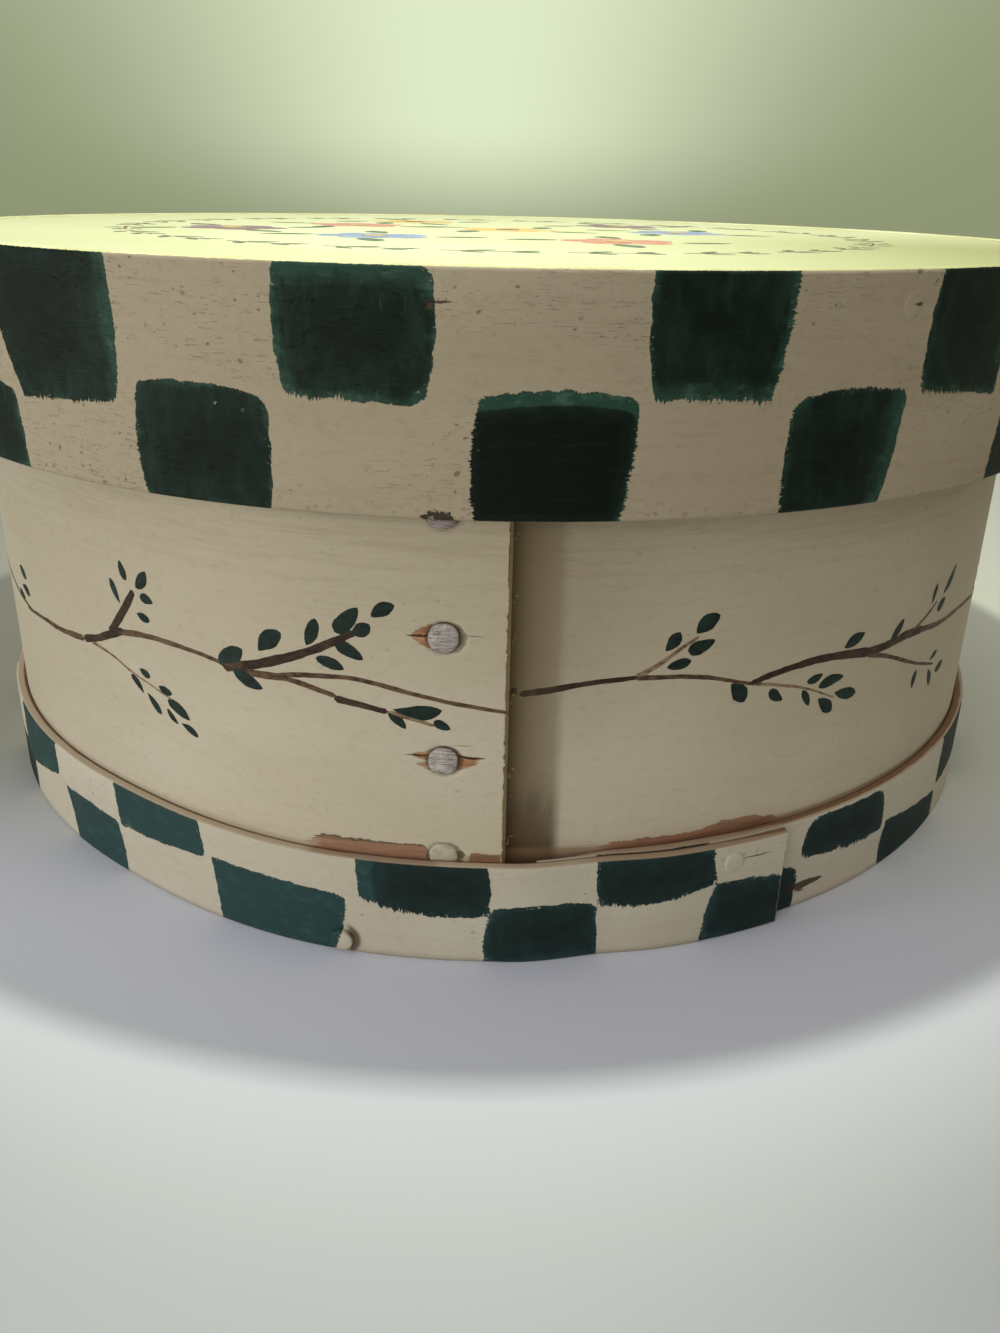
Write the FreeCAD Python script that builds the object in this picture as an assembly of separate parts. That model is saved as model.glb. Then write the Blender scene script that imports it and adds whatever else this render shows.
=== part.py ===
import FreeCAD, Part
import math
import os

# A round bentwood box with a lift-off lid: thin bands wrapped round two boards, lapped and pegged.
# The origin is the middle of the underside, +Z is up and the front is -Y. Lengths are in millimetres.
# Angles are in degrees from the front, counter-clockwise as seen from above.

# Box body
body_diameter = 280.0            # outside of the wall where it is one layer thick
body_height = 127.0
wall_thickness = 3.2
bottom_thickness = 12.0
body_lap_length = 33.0           # stretch where the wall is two full layers thick
body_scarf_length = 45.0         # stretch where the hidden inner end thins out
body_lap_end_angle = 2.7         # the outer layer's straight end, which shows at the front

# Hoop round the foot of the body
hoop_height = 23.5
hoop_thickness = 2.6
hoop_lap_length = 26.0
hoop_scarf_length = 30.0
hoop_lap_end_angle = 28.0
hoop_bridge_length = 24.0        # where the hoop comes down off the body's lap

# Lid
lid_rim_height = 42.0
lid_rim_thickness = 4.0
lid_board_thickness = 12.0
lid_lap_length = 36.0
lid_scarf_length = 45.0
lid_lap_end_angle = 186.0

# Pegs
lap_peg_diameter = 6.2
lap_peg_proud = 0.5              # how far a lap peg stands out of the wall
lap_peg_inside_proud = 0.4
lap_peg_from_end = 13.3          # from the lap's outer end to the row of pegs
lap_peg_height_shares = (0.19, 0.365, 0.571, 0.762, 0.948)
lap_peg_proud_shares = (0.0, 1.0, 1.0, 1.0, 1.0)
lid_lap_peg_height_shares = (0.3, 0.72)
board_peg_diameter = 5.0
board_peg_depth = 16.0           # how far a peg goes into the edge of a board
board_peg_proud = 1.4
board_peg_count = 10
bottom_peg_first_angle = -11.0
bottom_peg_height_shares = (0.27, 0.6, 0.5, 0.45, 0.55, 0.5, 0.4, 0.55, 0.5, 0.45)
bottom_peg_proud_shares = (1.0, 0.2, 0.3, 0.2, 0.4, 0.2, 0.3, 0.2, 0.3, 0.2)
lid_peg_first_angle = -5.5
lid_peg_proud_share = 0.15
hoop_peg_from_end = 14.5
hoop_peg_height_share = 0.82
peg_end_chamfer = 0.5

# Clearances
lid_clearance = 2.1              # between the lap pegs' faces and the inside of the lid rim
lid_seat_gap = 0.2               # between the top of the wall and the lid board
board_gap = 0.1                  # round each board in its band
layer_gap = 0.2                  # between the two layers of a lap
hoop_gap = 0.1                   # between the wall and the hoop
peg_clearance = 0.25             # round a peg in its hole
peg_end_gap = 0.3                # behind a peg in a board

# Shape of the ends and edges
end_bevel = 0.8                  # the outer end of a lap is cut a little slanting
board_edge_round = 1.0
point_spacing_angle = 3.0        # between the points that a band's curve goes through
scarf_lead_share = 0.3           # part of the rise that lies before the hidden end

# Derived sizes
wall_inner_radius = body_diameter / 2 - wall_thickness
lap_outer_radius = wall_inner_radius + 2 * wall_thickness + layer_gap
lid_inner_radius = lap_outer_radius + lap_peg_proud + lid_clearance
lid_underside = body_height + lid_seat_gap
lid_top = lid_underside + lid_board_thickness
lid_lower_edge = lid_top - lid_rim_height


def smooth_step(share):
    """Rise from 0 to 1 with level ends while share goes from 0 to 1."""
    held = min(max(share, 0.0), 1.0)
    return held * held * (3 - 2 * held)


def polar(radius, angle, height=0.0):
    """Point at a radius and an angle from the front."""
    turned = math.radians(angle)
    return FreeCAD.Vector(radius * math.sin(turned), -radius * math.cos(turned), height)


def degrees_along(length, radius):
    """Angle that an arc length takes at a radius."""
    return math.degrees(length / radius)


class LappedBand:
    """A band wrapped once round a carrier, its outer end lying over its thinned inner end.

    carrier(angle) is the radius of what the band lies on. The band starts at its hidden tip,
    goes round counter-clockwise and rises by its own thickness to pass over that tip.
    """

    def __init__(self, carrier, thickness, lap_length, scarf_length, lap_end_angle):
        self.carrier = carrier
        self.thickness = thickness
        radius = carrier(lap_end_angle)
        self.end_angle = lap_end_angle + 360
        self.full_angle = lap_end_angle - degrees_along(lap_length, radius)
        self.tip_angle = self.full_angle - degrees_along(scarf_length, radius)
        self.bevel_angle = degrees_along(end_bevel, radius)
        rise_angle = (self.full_angle - self.tip_angle) / (1 - scarf_lead_share)
        self.rise_start = self.full_angle + 360 - rise_angle
        self.rise_angle = rise_angle

    def rise(self, along):
        """How far the outer layer lies off the carrier, at an angle counted along the band."""
        share = (along - self.rise_start) / self.rise_angle
        return (self.thickness + layer_gap) * smooth_step(share)

    def inner_radius(self, along):
        return self.carrier(along) + self.rise(along)

    def outer_radius(self, along):
        if along < self.full_angle:
            return self.carrier(along) + self.rise(along + 360) - layer_gap
        return self.inner_radius(along) + self.thickness

    def outside(self, angle):
        """Radius of the band's visible outside at an angle from -180 to 180 or more."""
        along = angle + 360 if angle <= self.end_angle - 360 else angle
        return self.outer_radius(along)

    def curve(self, radius_of, start, end):
        count = math.ceil((end - start) / point_spacing_angle)
        angles = [start + (end - start) * step / count for step in range(count + 1)]
        line = Part.BSplineCurve()
        line.interpolate([polar(radius_of(along), along) for along in angles])
        return line.toShape()

    def solid(self, bottom, height):
        inner = self.curve(self.inner_radius, self.tip_angle, self.end_angle)
        outer = self.curve(self.outer_radius, self.tip_angle, self.end_angle - self.bevel_angle)
        ends = [(inner.Vertexes[0].Point, outer.Vertexes[0].Point),
                (inner.Vertexes[-1].Point, outer.Vertexes[-1].Point)]
        lines = [Part.makeLine(*pair) for pair in ends]
        wire = Part.Wire(Part.__sortEdges__([inner, lines[1], outer, lines[0]]))
        band = Part.Face(wire).extrude(FreeCAD.Vector(0, 0, height))
        band.translate(FreeCAD.Vector(0, 0, bottom))
        return band


def board(radius, bottom, thickness):
    """Round board with softened rims."""
    disc = Part.makeCylinder(radius, thickness, FreeCAD.Vector(0, 0, bottom))
    rims = [edge for edge in disc.Edges if isinstance(edge.Curve, Part.Circle)]
    return disc.makeFillet(board_edge_round, rims)


def turned_pin(radius, length, chamfer):
    """Pin along +Z from the origin, its far rim cut back by the chamfer."""
    profile = [(0, 0), (radius, 0), (radius, length - chamfer), (radius - chamfer, length), (0, length)]
    points = [FreeCAD.Vector(across, 0, along) for across, along in profile]
    face = Part.Face(Part.makePolygon(points + points[:1]))
    return face.revolve(FreeCAD.Vector(0, 0, 0), FreeCAD.Vector(0, 0, 1), 360)


class Peg:
    """A peg that points outward from the axis of the box, and the hole that it sits in."""

    def __init__(self, diameter, angle, height, inner_radius, outer_radius):
        self.radius = diameter / 2
        self.length = outer_radius - inner_radius
        self.start = polar(inner_radius, angle, height)
        self.turn = FreeCAD.Rotation(FreeCAD.Vector(0, 0, 1), polar(1, angle))

    def placed(self, shape, shift):
        along = self.turn.multVec(FreeCAD.Vector(0, 0, shift))
        shape.Placement = FreeCAD.Placement(self.start + along, self.turn)
        return shape

    def solid(self):
        return self.placed(turned_pin(self.radius, self.length, peg_end_chamfer), 0)

    def hole(self):
        length = self.length + 2 * peg_end_gap
        return self.placed(Part.makeCylinder(self.radius + peg_clearance, length), -peg_end_gap)


def drilled(shape, pegs):
    for peg in pegs:
        shape = shape.cut(peg.hole())
    return shape


def wall_outside(angle):
    """Outside of the body wall, with the slope of the hoop down off the lap's end."""
    bridge_angle = degrees_along(hoop_bridge_length, lap_outer_radius)
    around = (angle - body_lap_end_angle) % 360
    step_down = smooth_step(around / bridge_angle)
    top = wall.outer_radius(wall.end_angle)
    return max(wall.outside(body_lap_end_angle + around), top + (body_diameter / 2 - top) * step_down)


# Bands
wall = LappedBand(lambda angle: wall_inner_radius, wall_thickness,
                  body_lap_length, body_scarf_length, body_lap_end_angle)
hoop = LappedBand(lambda angle: wall_outside(angle) + hoop_gap, hoop_thickness,
                  hoop_lap_length, hoop_scarf_length, hoop_lap_end_angle)
lid_rim = LappedBand(lambda angle: lid_inner_radius, lid_rim_thickness,
                     lid_lap_length, lid_scarf_length, lid_lap_end_angle)


def body_lap_pegs():
    """Row of pegs through both layers of the wall, beside the straight end."""
    angle = body_lap_end_angle - degrees_along(lap_peg_from_end, lap_outer_radius)
    inner = wall_inner_radius - lap_peg_inside_proud
    pegs = []
    for height_share, proud_share in zip(lap_peg_height_shares, lap_peg_proud_shares):
        outer = wall.outside(angle) + lap_peg_proud * proud_share
        pegs.append(Peg(lap_peg_diameter, angle, body_height * height_share, inner, outer))
    return pegs


def bottom_pegs():
    """Pegs through the hoop and the wall into the edge of the bottom board."""
    pegs = []
    for number in range(board_peg_count):
        angle = bottom_peg_first_angle + 360 * number / board_peg_count
        height = bottom_thickness * bottom_peg_height_shares[number]
        outer = hoop.outside(angle) + board_peg_proud * bottom_peg_proud_shares[number]
        pegs.append(Peg(board_peg_diameter, angle, height, wall_inner_radius - board_peg_depth, outer))
    return pegs


def hoop_lap_pegs():
    """Upper peg of the hoop's lap, through the wall above the bottom board."""
    angle = hoop_lap_end_angle - degrees_along(hoop_peg_from_end, hoop.outside(hoop_lap_end_angle))
    outer = hoop.outside(angle) + lap_peg_proud
    inner = wall_inner_radius - lap_peg_inside_proud
    return [Peg(board_peg_diameter, angle, hoop_height * hoop_peg_height_share, inner, outer)]


def lid_pegs():
    """Pegs through the lid rim into the edge of the lid board."""
    height = lid_underside + lid_board_thickness / 2
    pegs = []
    for number in range(board_peg_count):
        angle = lid_peg_first_angle + 360 * number / board_peg_count
        outer = lid_rim.outside(angle) + board_peg_proud * lid_peg_proud_share
        pegs.append(Peg(board_peg_diameter, angle, height, lid_inner_radius - board_peg_depth, outer))
    return pegs


def lid_lap_pegs():
    """Pegs through both layers of the lid rim, at the back."""
    angle = lid_lap_end_angle - degrees_along(lap_peg_from_end, lid_rim.outside(lid_lap_end_angle))
    outer = lid_rim.outside(angle) + lap_peg_proud
    pegs = []
    for share in lid_lap_peg_height_shares:
        height = lid_lower_edge + (lid_rim_height - lid_board_thickness) * share
        pegs.append(Peg(board_peg_diameter, angle, height, lid_inner_radius, outer))
    return pegs


peg_rows = {
    "body_lap_peg": body_lap_pegs(),
    "hoop_lap_peg": hoop_lap_pegs(),
    "bottom_peg": bottom_pegs(),
    "lid_peg": lid_pegs(),
    "lid_rim_lap_peg": lid_lap_pegs(),
}
wall_pegs = peg_rows["body_lap_peg"] + peg_rows["hoop_lap_peg"] + peg_rows["bottom_peg"]
hoop_pegs = peg_rows["hoop_lap_peg"] + peg_rows["bottom_peg"]
rim_pegs = peg_rows["lid_peg"] + peg_rows["lid_rim_lap_peg"]

parts = {
    "bottom_board": drilled(board(wall_inner_radius - board_gap, 0, bottom_thickness),
                            peg_rows["bottom_peg"]),
    "body_band": drilled(wall.solid(0, body_height), wall_pegs),
    "bottom_hoop": drilled(hoop.solid(0, hoop_height), hoop_pegs),
    "lid_board": drilled(board(lid_inner_radius - board_gap, lid_underside, lid_board_thickness),
                         peg_rows["lid_peg"]),
    "lid_rim_band": drilled(lid_rim.solid(lid_lower_edge, lid_rim_height), rim_pegs),
}
for row, pegs in peg_rows.items():
    for number, peg in enumerate(pegs, 1):
        parts[f"{row}_{number}"] = peg.solid()

os.makedirs("parts", exist_ok=True)
for name, shape in parts.items():
    solid = shape.Solids[0]
    print(name, "solids", len(shape.Solids), "valid", shape.isValid(), "volume", round(solid.Volume, 1))
    solid.exportStep(f"parts/{name}.step")
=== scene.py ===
import math

import bpy
import numpy as np
from mathutils import Matrix, Vector


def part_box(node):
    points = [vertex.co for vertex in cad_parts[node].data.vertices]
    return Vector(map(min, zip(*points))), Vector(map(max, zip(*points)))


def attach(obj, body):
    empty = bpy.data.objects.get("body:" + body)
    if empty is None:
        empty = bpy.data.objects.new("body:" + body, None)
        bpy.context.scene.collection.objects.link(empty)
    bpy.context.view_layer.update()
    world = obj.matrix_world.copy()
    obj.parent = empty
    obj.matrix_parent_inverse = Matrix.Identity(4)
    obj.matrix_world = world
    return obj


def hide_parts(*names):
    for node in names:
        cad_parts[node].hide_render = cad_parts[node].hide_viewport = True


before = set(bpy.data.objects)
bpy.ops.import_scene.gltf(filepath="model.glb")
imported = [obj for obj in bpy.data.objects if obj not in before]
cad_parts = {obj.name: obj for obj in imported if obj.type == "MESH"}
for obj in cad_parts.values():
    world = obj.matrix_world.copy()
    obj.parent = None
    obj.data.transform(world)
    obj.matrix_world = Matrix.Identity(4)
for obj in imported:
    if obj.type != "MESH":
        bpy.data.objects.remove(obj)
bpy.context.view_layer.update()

# Sizes in millimetres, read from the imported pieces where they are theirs; angles in degrees from the
# front, counter-clockwise seen from above. "Along" is the way round the box at the wall's radius.
MM = 0.001
FRONT_LAYER_GAP = 0.2
SEEN_LAYER_GAP = 0.03
BOARD_GAP = 0.1
HOOP_GAP = 0.1
SCARF_LEAD_SHARE = 0.3
END_BEVEL = 0.8


def high(node, axis):
    """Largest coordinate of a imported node, in millimetres."""
    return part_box(node)[1][axis] / MM


def low(node, axis):
    """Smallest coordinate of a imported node, in millimetres."""
    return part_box(node)[0][axis] / MM


WALL_INNER_RADIUS = high("bottom_board", 0) + BOARD_GAP
WALL_THICKNESS = 3.2
WALL_RADIUS = WALL_INNER_RADIUS + WALL_THICKNESS
WALL_HEIGHT = high("body_band", 2)
WALL_LAP_END = 2.7
HOOP_THICKNESS = 2.6
HOOP_HEIGHT = high("bottom_hoop", 2)
HOOP_LAP_END = 28.0
HOOP_BRIDGE = 24.0
LID_INNER_RADIUS = high("lid_board", 0) + BOARD_GAP
LID_RIM_THICKNESS = 3.98
LID_TOP = high("lid_rim_band", 2)
LID_LOW = low("lid_rim_band", 2)
LID_UNDERSIDE = low("lid_board", 2)
LID_LAP_END = 186.0
BOTTOM_THICKNESS = high("bottom_board", 2)

LAP_PEG_RADIUS = 3.1
LAP_PEG_PROUD = 0.5
BOARD_PEG_RADIUS = 2.5
BOARD_PEG_PROUD = 1.4
BOARD_PEG_DEPTH = 16.0
BOTTOM_PEG_FIRST_ANGLE = -11.0
BOTTOM_PEG_HEIGHT_SHARES = (0.27, 0.6, 0.5, 0.45, 0.55, 0.5, 0.4, 0.55, 0.5, 0.45)
BOTTOM_PEG_PROUD_SHARES = (1.0, 0.2, 0.3, 0.2, 0.4, 0.2, 0.3, 0.2, 0.3, 0.2)
BOTTOM_PEG_LOW = BOTTOM_THICKNESS * BOTTOM_PEG_HEIGHT_SHARES[0]
LID_PEG_FIRST_ANGLE = -5.5
LID_PEG_PROUD_SHARE = 0.2
PEG_FROM_END = 13.3
HOOP_PEG_FROM_END = 14.5
LAP_PEG_HEIGHTS = [WALL_HEIGHT * share for share in (0.19, 0.365, 0.571, 0.762, 0.948)]
LID_PEG_HEIGHT = (LID_UNDERSIDE + LID_TOP) / 2
HOOP_PEG_HEIGHT = HOOP_HEIGHT * 0.82
PAINT_THICKNESS = 0.05
LID_SURFACE = LID_TOP - 6 * PAINT_THICKNESS


def smooth_step(share):
    """0 to 1 with level ends: 3 s squared minus 2 s cubed, s held between 0 and 1."""
    held = np.clip(share, 0.0, 1.0)
    return held * held * (3 - 2 * held)


def ripple(place, seed):
    """Uneven wave between about -1 and 1: three sines whose lengths don't divide each other."""
    return (np.sin(place * 1.0 + seed * 1.7) + 0.6 * np.sin(place * 2.37 + seed * 4.1)
            + 0.4 * np.sin(place * 5.23 + seed * 9.3)) / 2


def degrees_along(length, radius):
    """Angle that an arc length takes at a radius."""
    return np.degrees(length / radius)


def polar(radius, angle, height):
    """Points at a radius, an angle from the front and a height, as an array of x, y, z."""
    turned = np.radians(angle)
    radius, turned, height = np.broadcast_arrays(radius, turned, height)
    return np.stack([radius * np.sin(turned), -radius * np.cos(turned), height], -1)


class LappedBand:
    """A band wrapped once round what carries it, rising by its thickness to pass over its own thinned tip.

    The inside radius is the carrier's plus a smooth rise over the scarf; the outside radius is a thickness
    more, and over the tip it is the rise of the layer above, less the gap between the layers.
    """

    def __init__(self, carrier, thickness, lap_length, scarf_length, lap_end):
        self.carrier = carrier
        self.thickness = thickness
        radius = float(carrier(np.array(lap_end)))
        self.end = lap_end + 360
        self.full = lap_end - degrees_along(lap_length, radius)
        self.tip = self.full - degrees_along(scarf_length, radius)
        self.bevel = degrees_along(END_BEVEL, radius)
        self.rise_angle = (self.full - self.tip) / (1 - SCARF_LEAD_SHARE)
        self.rise_start = self.full + 360 - self.rise_angle

    def rise(self, along):
        return (self.thickness + FRONT_LAYER_GAP) * smooth_step((along - self.rise_start) / self.rise_angle)

    def inner(self, along):
        return self.carrier(along) + self.rise(along)

    def outer(self, along):
        thinned = self.carrier(along) + self.rise(along + 360) - SEEN_LAYER_GAP
        return np.where(along < self.full, thinned, self.inner(along) + self.thickness)

    def outside(self, angle):
        """Outside radius of the layer that shows at an angle."""
        past_end = np.mod(angle - (self.end - 360), 360)
        past_end = np.where(past_end == 0, 360.0, past_end)
        return self.outer(self.end - 360 + past_end)


wall = LappedBand(lambda angle: WALL_INNER_RADIUS + 0 * angle, WALL_THICKNESS, 33.0, 45.0, WALL_LAP_END)


def wall_outside(angle):
    """What the hoop lies on: the wall, with a smooth slope down off the wall's lap."""
    around = np.mod(angle - WALL_LAP_END, 360)
    lap_radius = wall.outer(np.array(wall.end))
    slope = smooth_step(around / degrees_along(HOOP_BRIDGE, lap_radius))
    return np.maximum(wall.outside(angle), lap_radius + (WALL_RADIUS - lap_radius) * slope)


hoop = LappedBand(lambda angle: wall_outside(angle) + HOOP_GAP, HOOP_THICKNESS, 26.0, 30.0, HOOP_LAP_END)
lid_rim = LappedBand(lambda angle: LID_INNER_RADIUS + 0 * angle, LID_RIM_THICKNESS, 36.0, 45.0, LID_LAP_END)
SEAM_ALONG = math.radians(WALL_LAP_END) * WALL_RADIUS
LAP_PEG_ANGLE = WALL_LAP_END - float(degrees_along(PEG_FROM_END, wall.outer(np.array(wall.end))))
LAP_PEG_ALONG = math.radians(LAP_PEG_ANGLE) * WALL_RADIUS


def tube_faces(rows, columns):
    """Faces of a closed tube of points, numbered ring by ring: its quads, then its first and last ring."""
    row, column = np.meshgrid(np.arange(rows - 1), np.arange(columns), indexing="ij")
    following = (column + 1) % columns
    quads = [row * columns + column, row * columns + following,
             (row + 1) * columns + following, (row + 1) * columns + column]
    ring = list(range(columns))
    return [*np.stack(quads, -1).reshape(-1, 4).tolist(), ring[::-1],
            [(rows - 1) * columns + index for index in ring]]


def signed_volume(points, faces):
    """Volume inside the faces: a sixth of the sum of the triple products of each face's fan."""
    total = 0.0
    for size in sorted({len(face) for face in faces}):
        same = points[np.array([face for face in faces if len(face) == size])]
        for step in range(1, size - 1):
            total += np.einsum("ij,ij->", same[:, 0], np.cross(same[:, step], same[:, step + 1])) / 6
    return total


def make_piece(name, points, faces, body, material, replaced=(), attributes=None, sharp_angle=40):
    """One mesh from points in millimetres, facing outward, riding on a body."""
    if signed_volume(points, faces) < 0:
        faces = [face[::-1] for face in faces]
    mesh = bpy.data.meshes.new(name)
    mesh.from_pydata((points * MM).tolist(), [], faces)
    for label, values in (attributes or {}).items():
        layer = mesh.attributes.new(label, "FLOAT", "POINT")
        layer.data.foreach_set("value", np.asarray(values, np.float32).ravel())
    mesh.shade_smooth()
    mesh.set_sharp_from_angle(angle=math.radians(sharp_angle))
    mesh.materials.append(material)
    piece = bpy.data.objects.new(name, mesh)
    bpy.context.scene.collection.objects.link(piece)
    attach(piece, body)
    if replaced:
        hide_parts(*replaced)


def band_section(bottom, top, face_heights, edge_round):
    """Closed outline of a band's section: outer face up, top, inner face down, bottom.

    Returns for each point the share of the thickness it lies at, a shift in radius from there that gives
    the rounded edges, its height, and how much it belongs to the outer face and to the top.
    """
    turn = np.radians([0, 30, 60, 90])
    inset = edge_round * (1 - np.cos(turn))
    lift = edge_round * np.sin(turn)
    inner_heights = np.linspace(top - edge_round, bottom + edge_round, 12)
    across = np.array([0.7, 0.3])
    none = np.zeros(4)
    flat = np.zeros(2)
    pieces = [
        (1 + 0 * face_heights, 0 * face_heights, face_heights, 1 + 0 * face_heights, 0 * face_heights),
        (none + 1, -inset, top - edge_round + lift, np.array([1, 0.9, 0.4, 0]), np.array([0, 0.1, 0.6, 1])),
        (across, flat, flat + top, flat, flat + 1),
        (none, inset[::-1], top - edge_round + lift[::-1], none, np.array([1, 1, 0.5, 0])),
        (0 * inner_heights, 0 * inner_heights, inner_heights, 0 * inner_heights, 0 * inner_heights),
        (none, inset, bottom + edge_round - lift, none, none),
        (across[::-1], flat, flat + bottom, flat, flat),
        (none + 1, -inset[::-1], bottom + edge_round - lift[::-1], np.array([0, 0.4, 0.9, 1]), none),
    ]
    return [np.concatenate(column) for column in zip(*pieces)]


def spaced(start, end, step, closer=()):
    """Places from start to end about a step apart; the stretches (centre, half, step) are filled closer."""
    places = [np.linspace(start, end, max(2, int(round((end - start) / step)) + 1))]
    for centre, half, fine in closer:
        places[0] = places[0][np.abs(places[0] - centre) > half + fine / 2]
        inside = np.arange(centre - half, centre + half + fine / 2, fine)
        places.append(inside[(inside > start) & (inside < end)])
    return np.unique(np.round(np.concatenate(places), 4))


def make_band(name, band, bottom, top, columns, face_heights, edge_round, material,
              dents=None, fields=None, body="box"):
    """A band: its section carried along the wrap, smaller rounds at the thinned tip, a ragged outer end.

    The point at column angle a and section share s has radius inner(a) + s times the thickness, plus the
    section's shift, less any dent; near the outer end the angle is pulled back by the bevel and a ripple.
    """
    share, shift, height, outer_face, top_face = band_section(bottom, top, face_heights, edge_round)
    inner, outer = band.inner(columns)[:, None], band.outer(columns)[:, None]
    inner = np.where(columns[:, None] < band.full, band.carrier(columns)[:, None], inner)
    thickness = outer - inner
    fits = np.minimum(1, 0.45 * thickness / edge_round)
    radius = inner + thickness * share[None] + shift[None] * fits
    near_end = smooth_step((columns - (band.end - 3 * band.bevel)) / (3 * band.bevel))[:, None]
    ragged = 0.25 * band.bevel * (ripple(height * 1.9, 3) + 0.6 * ripple(height * 6.1, 8))[None]
    angle = columns[:, None] - near_end * (band.bevel * share[None] + ragged + 0.25 * band.bevel)
    if dents is not None:
        radius = radius - dents(angle, height[None] + 0 * angle) * outer_face[None]
    points = polar(radius, angle, height[None] + 0 * angle).reshape(-1, 3)
    full = np.ones((len(columns), 1))
    attributes = {"outer_face": full * outer_face, "top_face": full * top_face, "across": full * share,
                  "end_face": near_end ** 6 * np.ones(len(share))}
    if fields is not None:
        attributes.update(fields(angle, height[None] + 0 * angle))
    faces = tube_faces(len(columns), len(share))
    make_piece(name, points, faces, body, material, (name,), attributes)


class Shade:
    """One output of a material's nodes. Arithmetic on it adds Math nodes; node() adds any other."""

    def __init__(self, tree, socket=None):
        self.tree = tree
        self.socket = socket

    def put(self, value, socket):
        """Link a Shade to a socket, or set a plain value on it."""
        if isinstance(value, Shade):
            self.tree.links.new(value.socket, socket)
        else:
            socket.default_value = value

    def node(self, kind, settings=None, values=None, output=0):
        """One output of a new node, its settings made first, then the values or links of its sockets."""
        made = self.tree.nodes.new(kind)
        for label, setting in (settings or {}).items():
            setattr(made, label, setting)
        for label, value in (values or {}).items():
            self.put(value, made.inputs[label])
        return Shade(self.tree, made.outputs[output])

    def math(self, operation, *others):
        values = dict(enumerate(others))
        return self.node("ShaderNodeMath", {"operation": operation}, values)

    def __add__(self, other):
        return self.math("ADD", self, other)

    __radd__ = __add__

    def __mul__(self, other):
        return self.math("MULTIPLY", self, other)

    __rmul__ = __mul__

    def __sub__(self, other):
        return self.math("SUBTRACT", self, other)

    def __rsub__(self, other):
        return self.math("SUBTRACT", other, self)

    def __truediv__(self, other):
        return self.math("DIVIDE", self, other)

    def __pow__(self, other):
        return self.math("POWER", self, other)

    def larger(self, other):
        return self.math("MAXIMUM", self, other)

    def smaller(self, other):
        return self.math("MINIMUM", self, other)

    def size(self):
        return self.math("ABSOLUTE", self)

    def between(self, start, end):
        """0 at start, 1 at end, smooth between; start may be the larger."""
        return self.node("ShaderNodeMapRange", {"interpolation_type": "SMOOTHSTEP"},
                         {"Value": self, "From Min": start, "From Max": end})

    def blend(self, first, second, factor):
        """The first colour, turned into the second where factor is 1; either may be a plain colour."""
        return self.node("ShaderNodeMix", {"data_type": "RGBA"}, {0: factor, 6: first, 7: second}, 2)

    def mixed(self, other, factor):
        """This colour, turned into the other where factor is 1."""
        return self.blend(self, other, factor)

    def stretched(self, *factors):
        """This place with each of its three parts times its own factor."""
        return self.node("ShaderNodeVectorMath", {"operation": "MULTIPLY"}, {0: self, 1: factors})

    def parts(self):
        """The x, y and z of this place."""
        return [self.node("ShaderNodeSeparateXYZ", None, {0: self}, output=axis) for axis in range(3)]


def colour(red, green, blue):
    """Linear colour from the 0 to 255 values that a screen shows."""
    shown = np.array([red, green, blue]) / 255
    linear = np.where(shown <= 0.04045, shown / 12.92, ((shown + 0.055) / 1.055) ** 2.4)
    return (*linear.tolist(), 1.0)


class Finish:
    """A material under way: its nodes, the place on the object in millimetres, and its shader."""

    def __init__(self, name):
        self.material = bpy.data.materials.new(name)
        self.material.use_nodes = True
        self.tree = self.material.node_tree
        self.shader = self.tree.nodes["Principled BSDF"]
        self.start = Shade(self.tree)
        self.blend = self.start.blend
        objects = self.start.node("ShaderNodeTexCoord", output=3)
        self.place = objects.node("ShaderNodeVectorMath", {"operation": "SCALE"}, {0: objects, 3: 1 / MM})
        self.x, self.y, self.z = self.place.parts()
        turned = self.start.math("ARCTAN2", self.x, 0 - self.y)
        self.angle = turned * (180 / math.pi)
        self.along = turned * WALL_RADIUS

    def attribute(self, label):
        return self.start.node("ShaderNodeAttribute", {"attribute_name": label}, output=2)

    def from_axis(self):
        """Distance from the box's axis, in millimetres."""
        return (self.x * self.x + self.y * self.y) ** 0.5

    def noise(self, along_x, along_y, along_z, detail, roughness):
        """Noise at the place, which goes this many times round per millimetre along x, y and z. 0 to 1."""
        place = self.place.stretched(along_x, along_y, along_z)
        return place.node("ShaderNodeTexNoise", None,
                          {"Vector": place, "Scale": 1.0, "Detail": detail, "Roughness": roughness})

    def relief(self, height, distance, strength):
        """Bump from a height of 0 to 1 that stands for a distance in millimetres."""
        return self.start.node("ShaderNodeBump", None,
                               {"Height": height, "Distance": distance * MM, "Strength": strength})

    def done(self, base, roughness, normal, gloss=0.35):
        """The finished material."""
        self.start.put(base, self.shader.inputs["Base Color"])
        self.start.put(roughness, self.shader.inputs["Roughness"])
        self.start.put(normal, self.shader.inputs["Normal"])
        self.shader.inputs["Specular IOR Level"].default_value = gloss
        return self.material


def wood_grain(finish, direction="round"):
    """Long streaks of a bent band: noise drawn out round the box and fine up it. 0 to 1."""
    if direction == "round":
        long = finish.noise(0.03, 0.03, 0.7, 4, 0.6)
        fine = finish.noise(0.14, 0.14, 3.4, 3, 0.6)
    else:
        long = finish.noise(0.015, 0.35, 0.35, 4, 0.6)
        fine = finish.noise(0.05, 2.0, 2.0, 3, 0.6)
    return long * 0.6 + fine * 0.4


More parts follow.
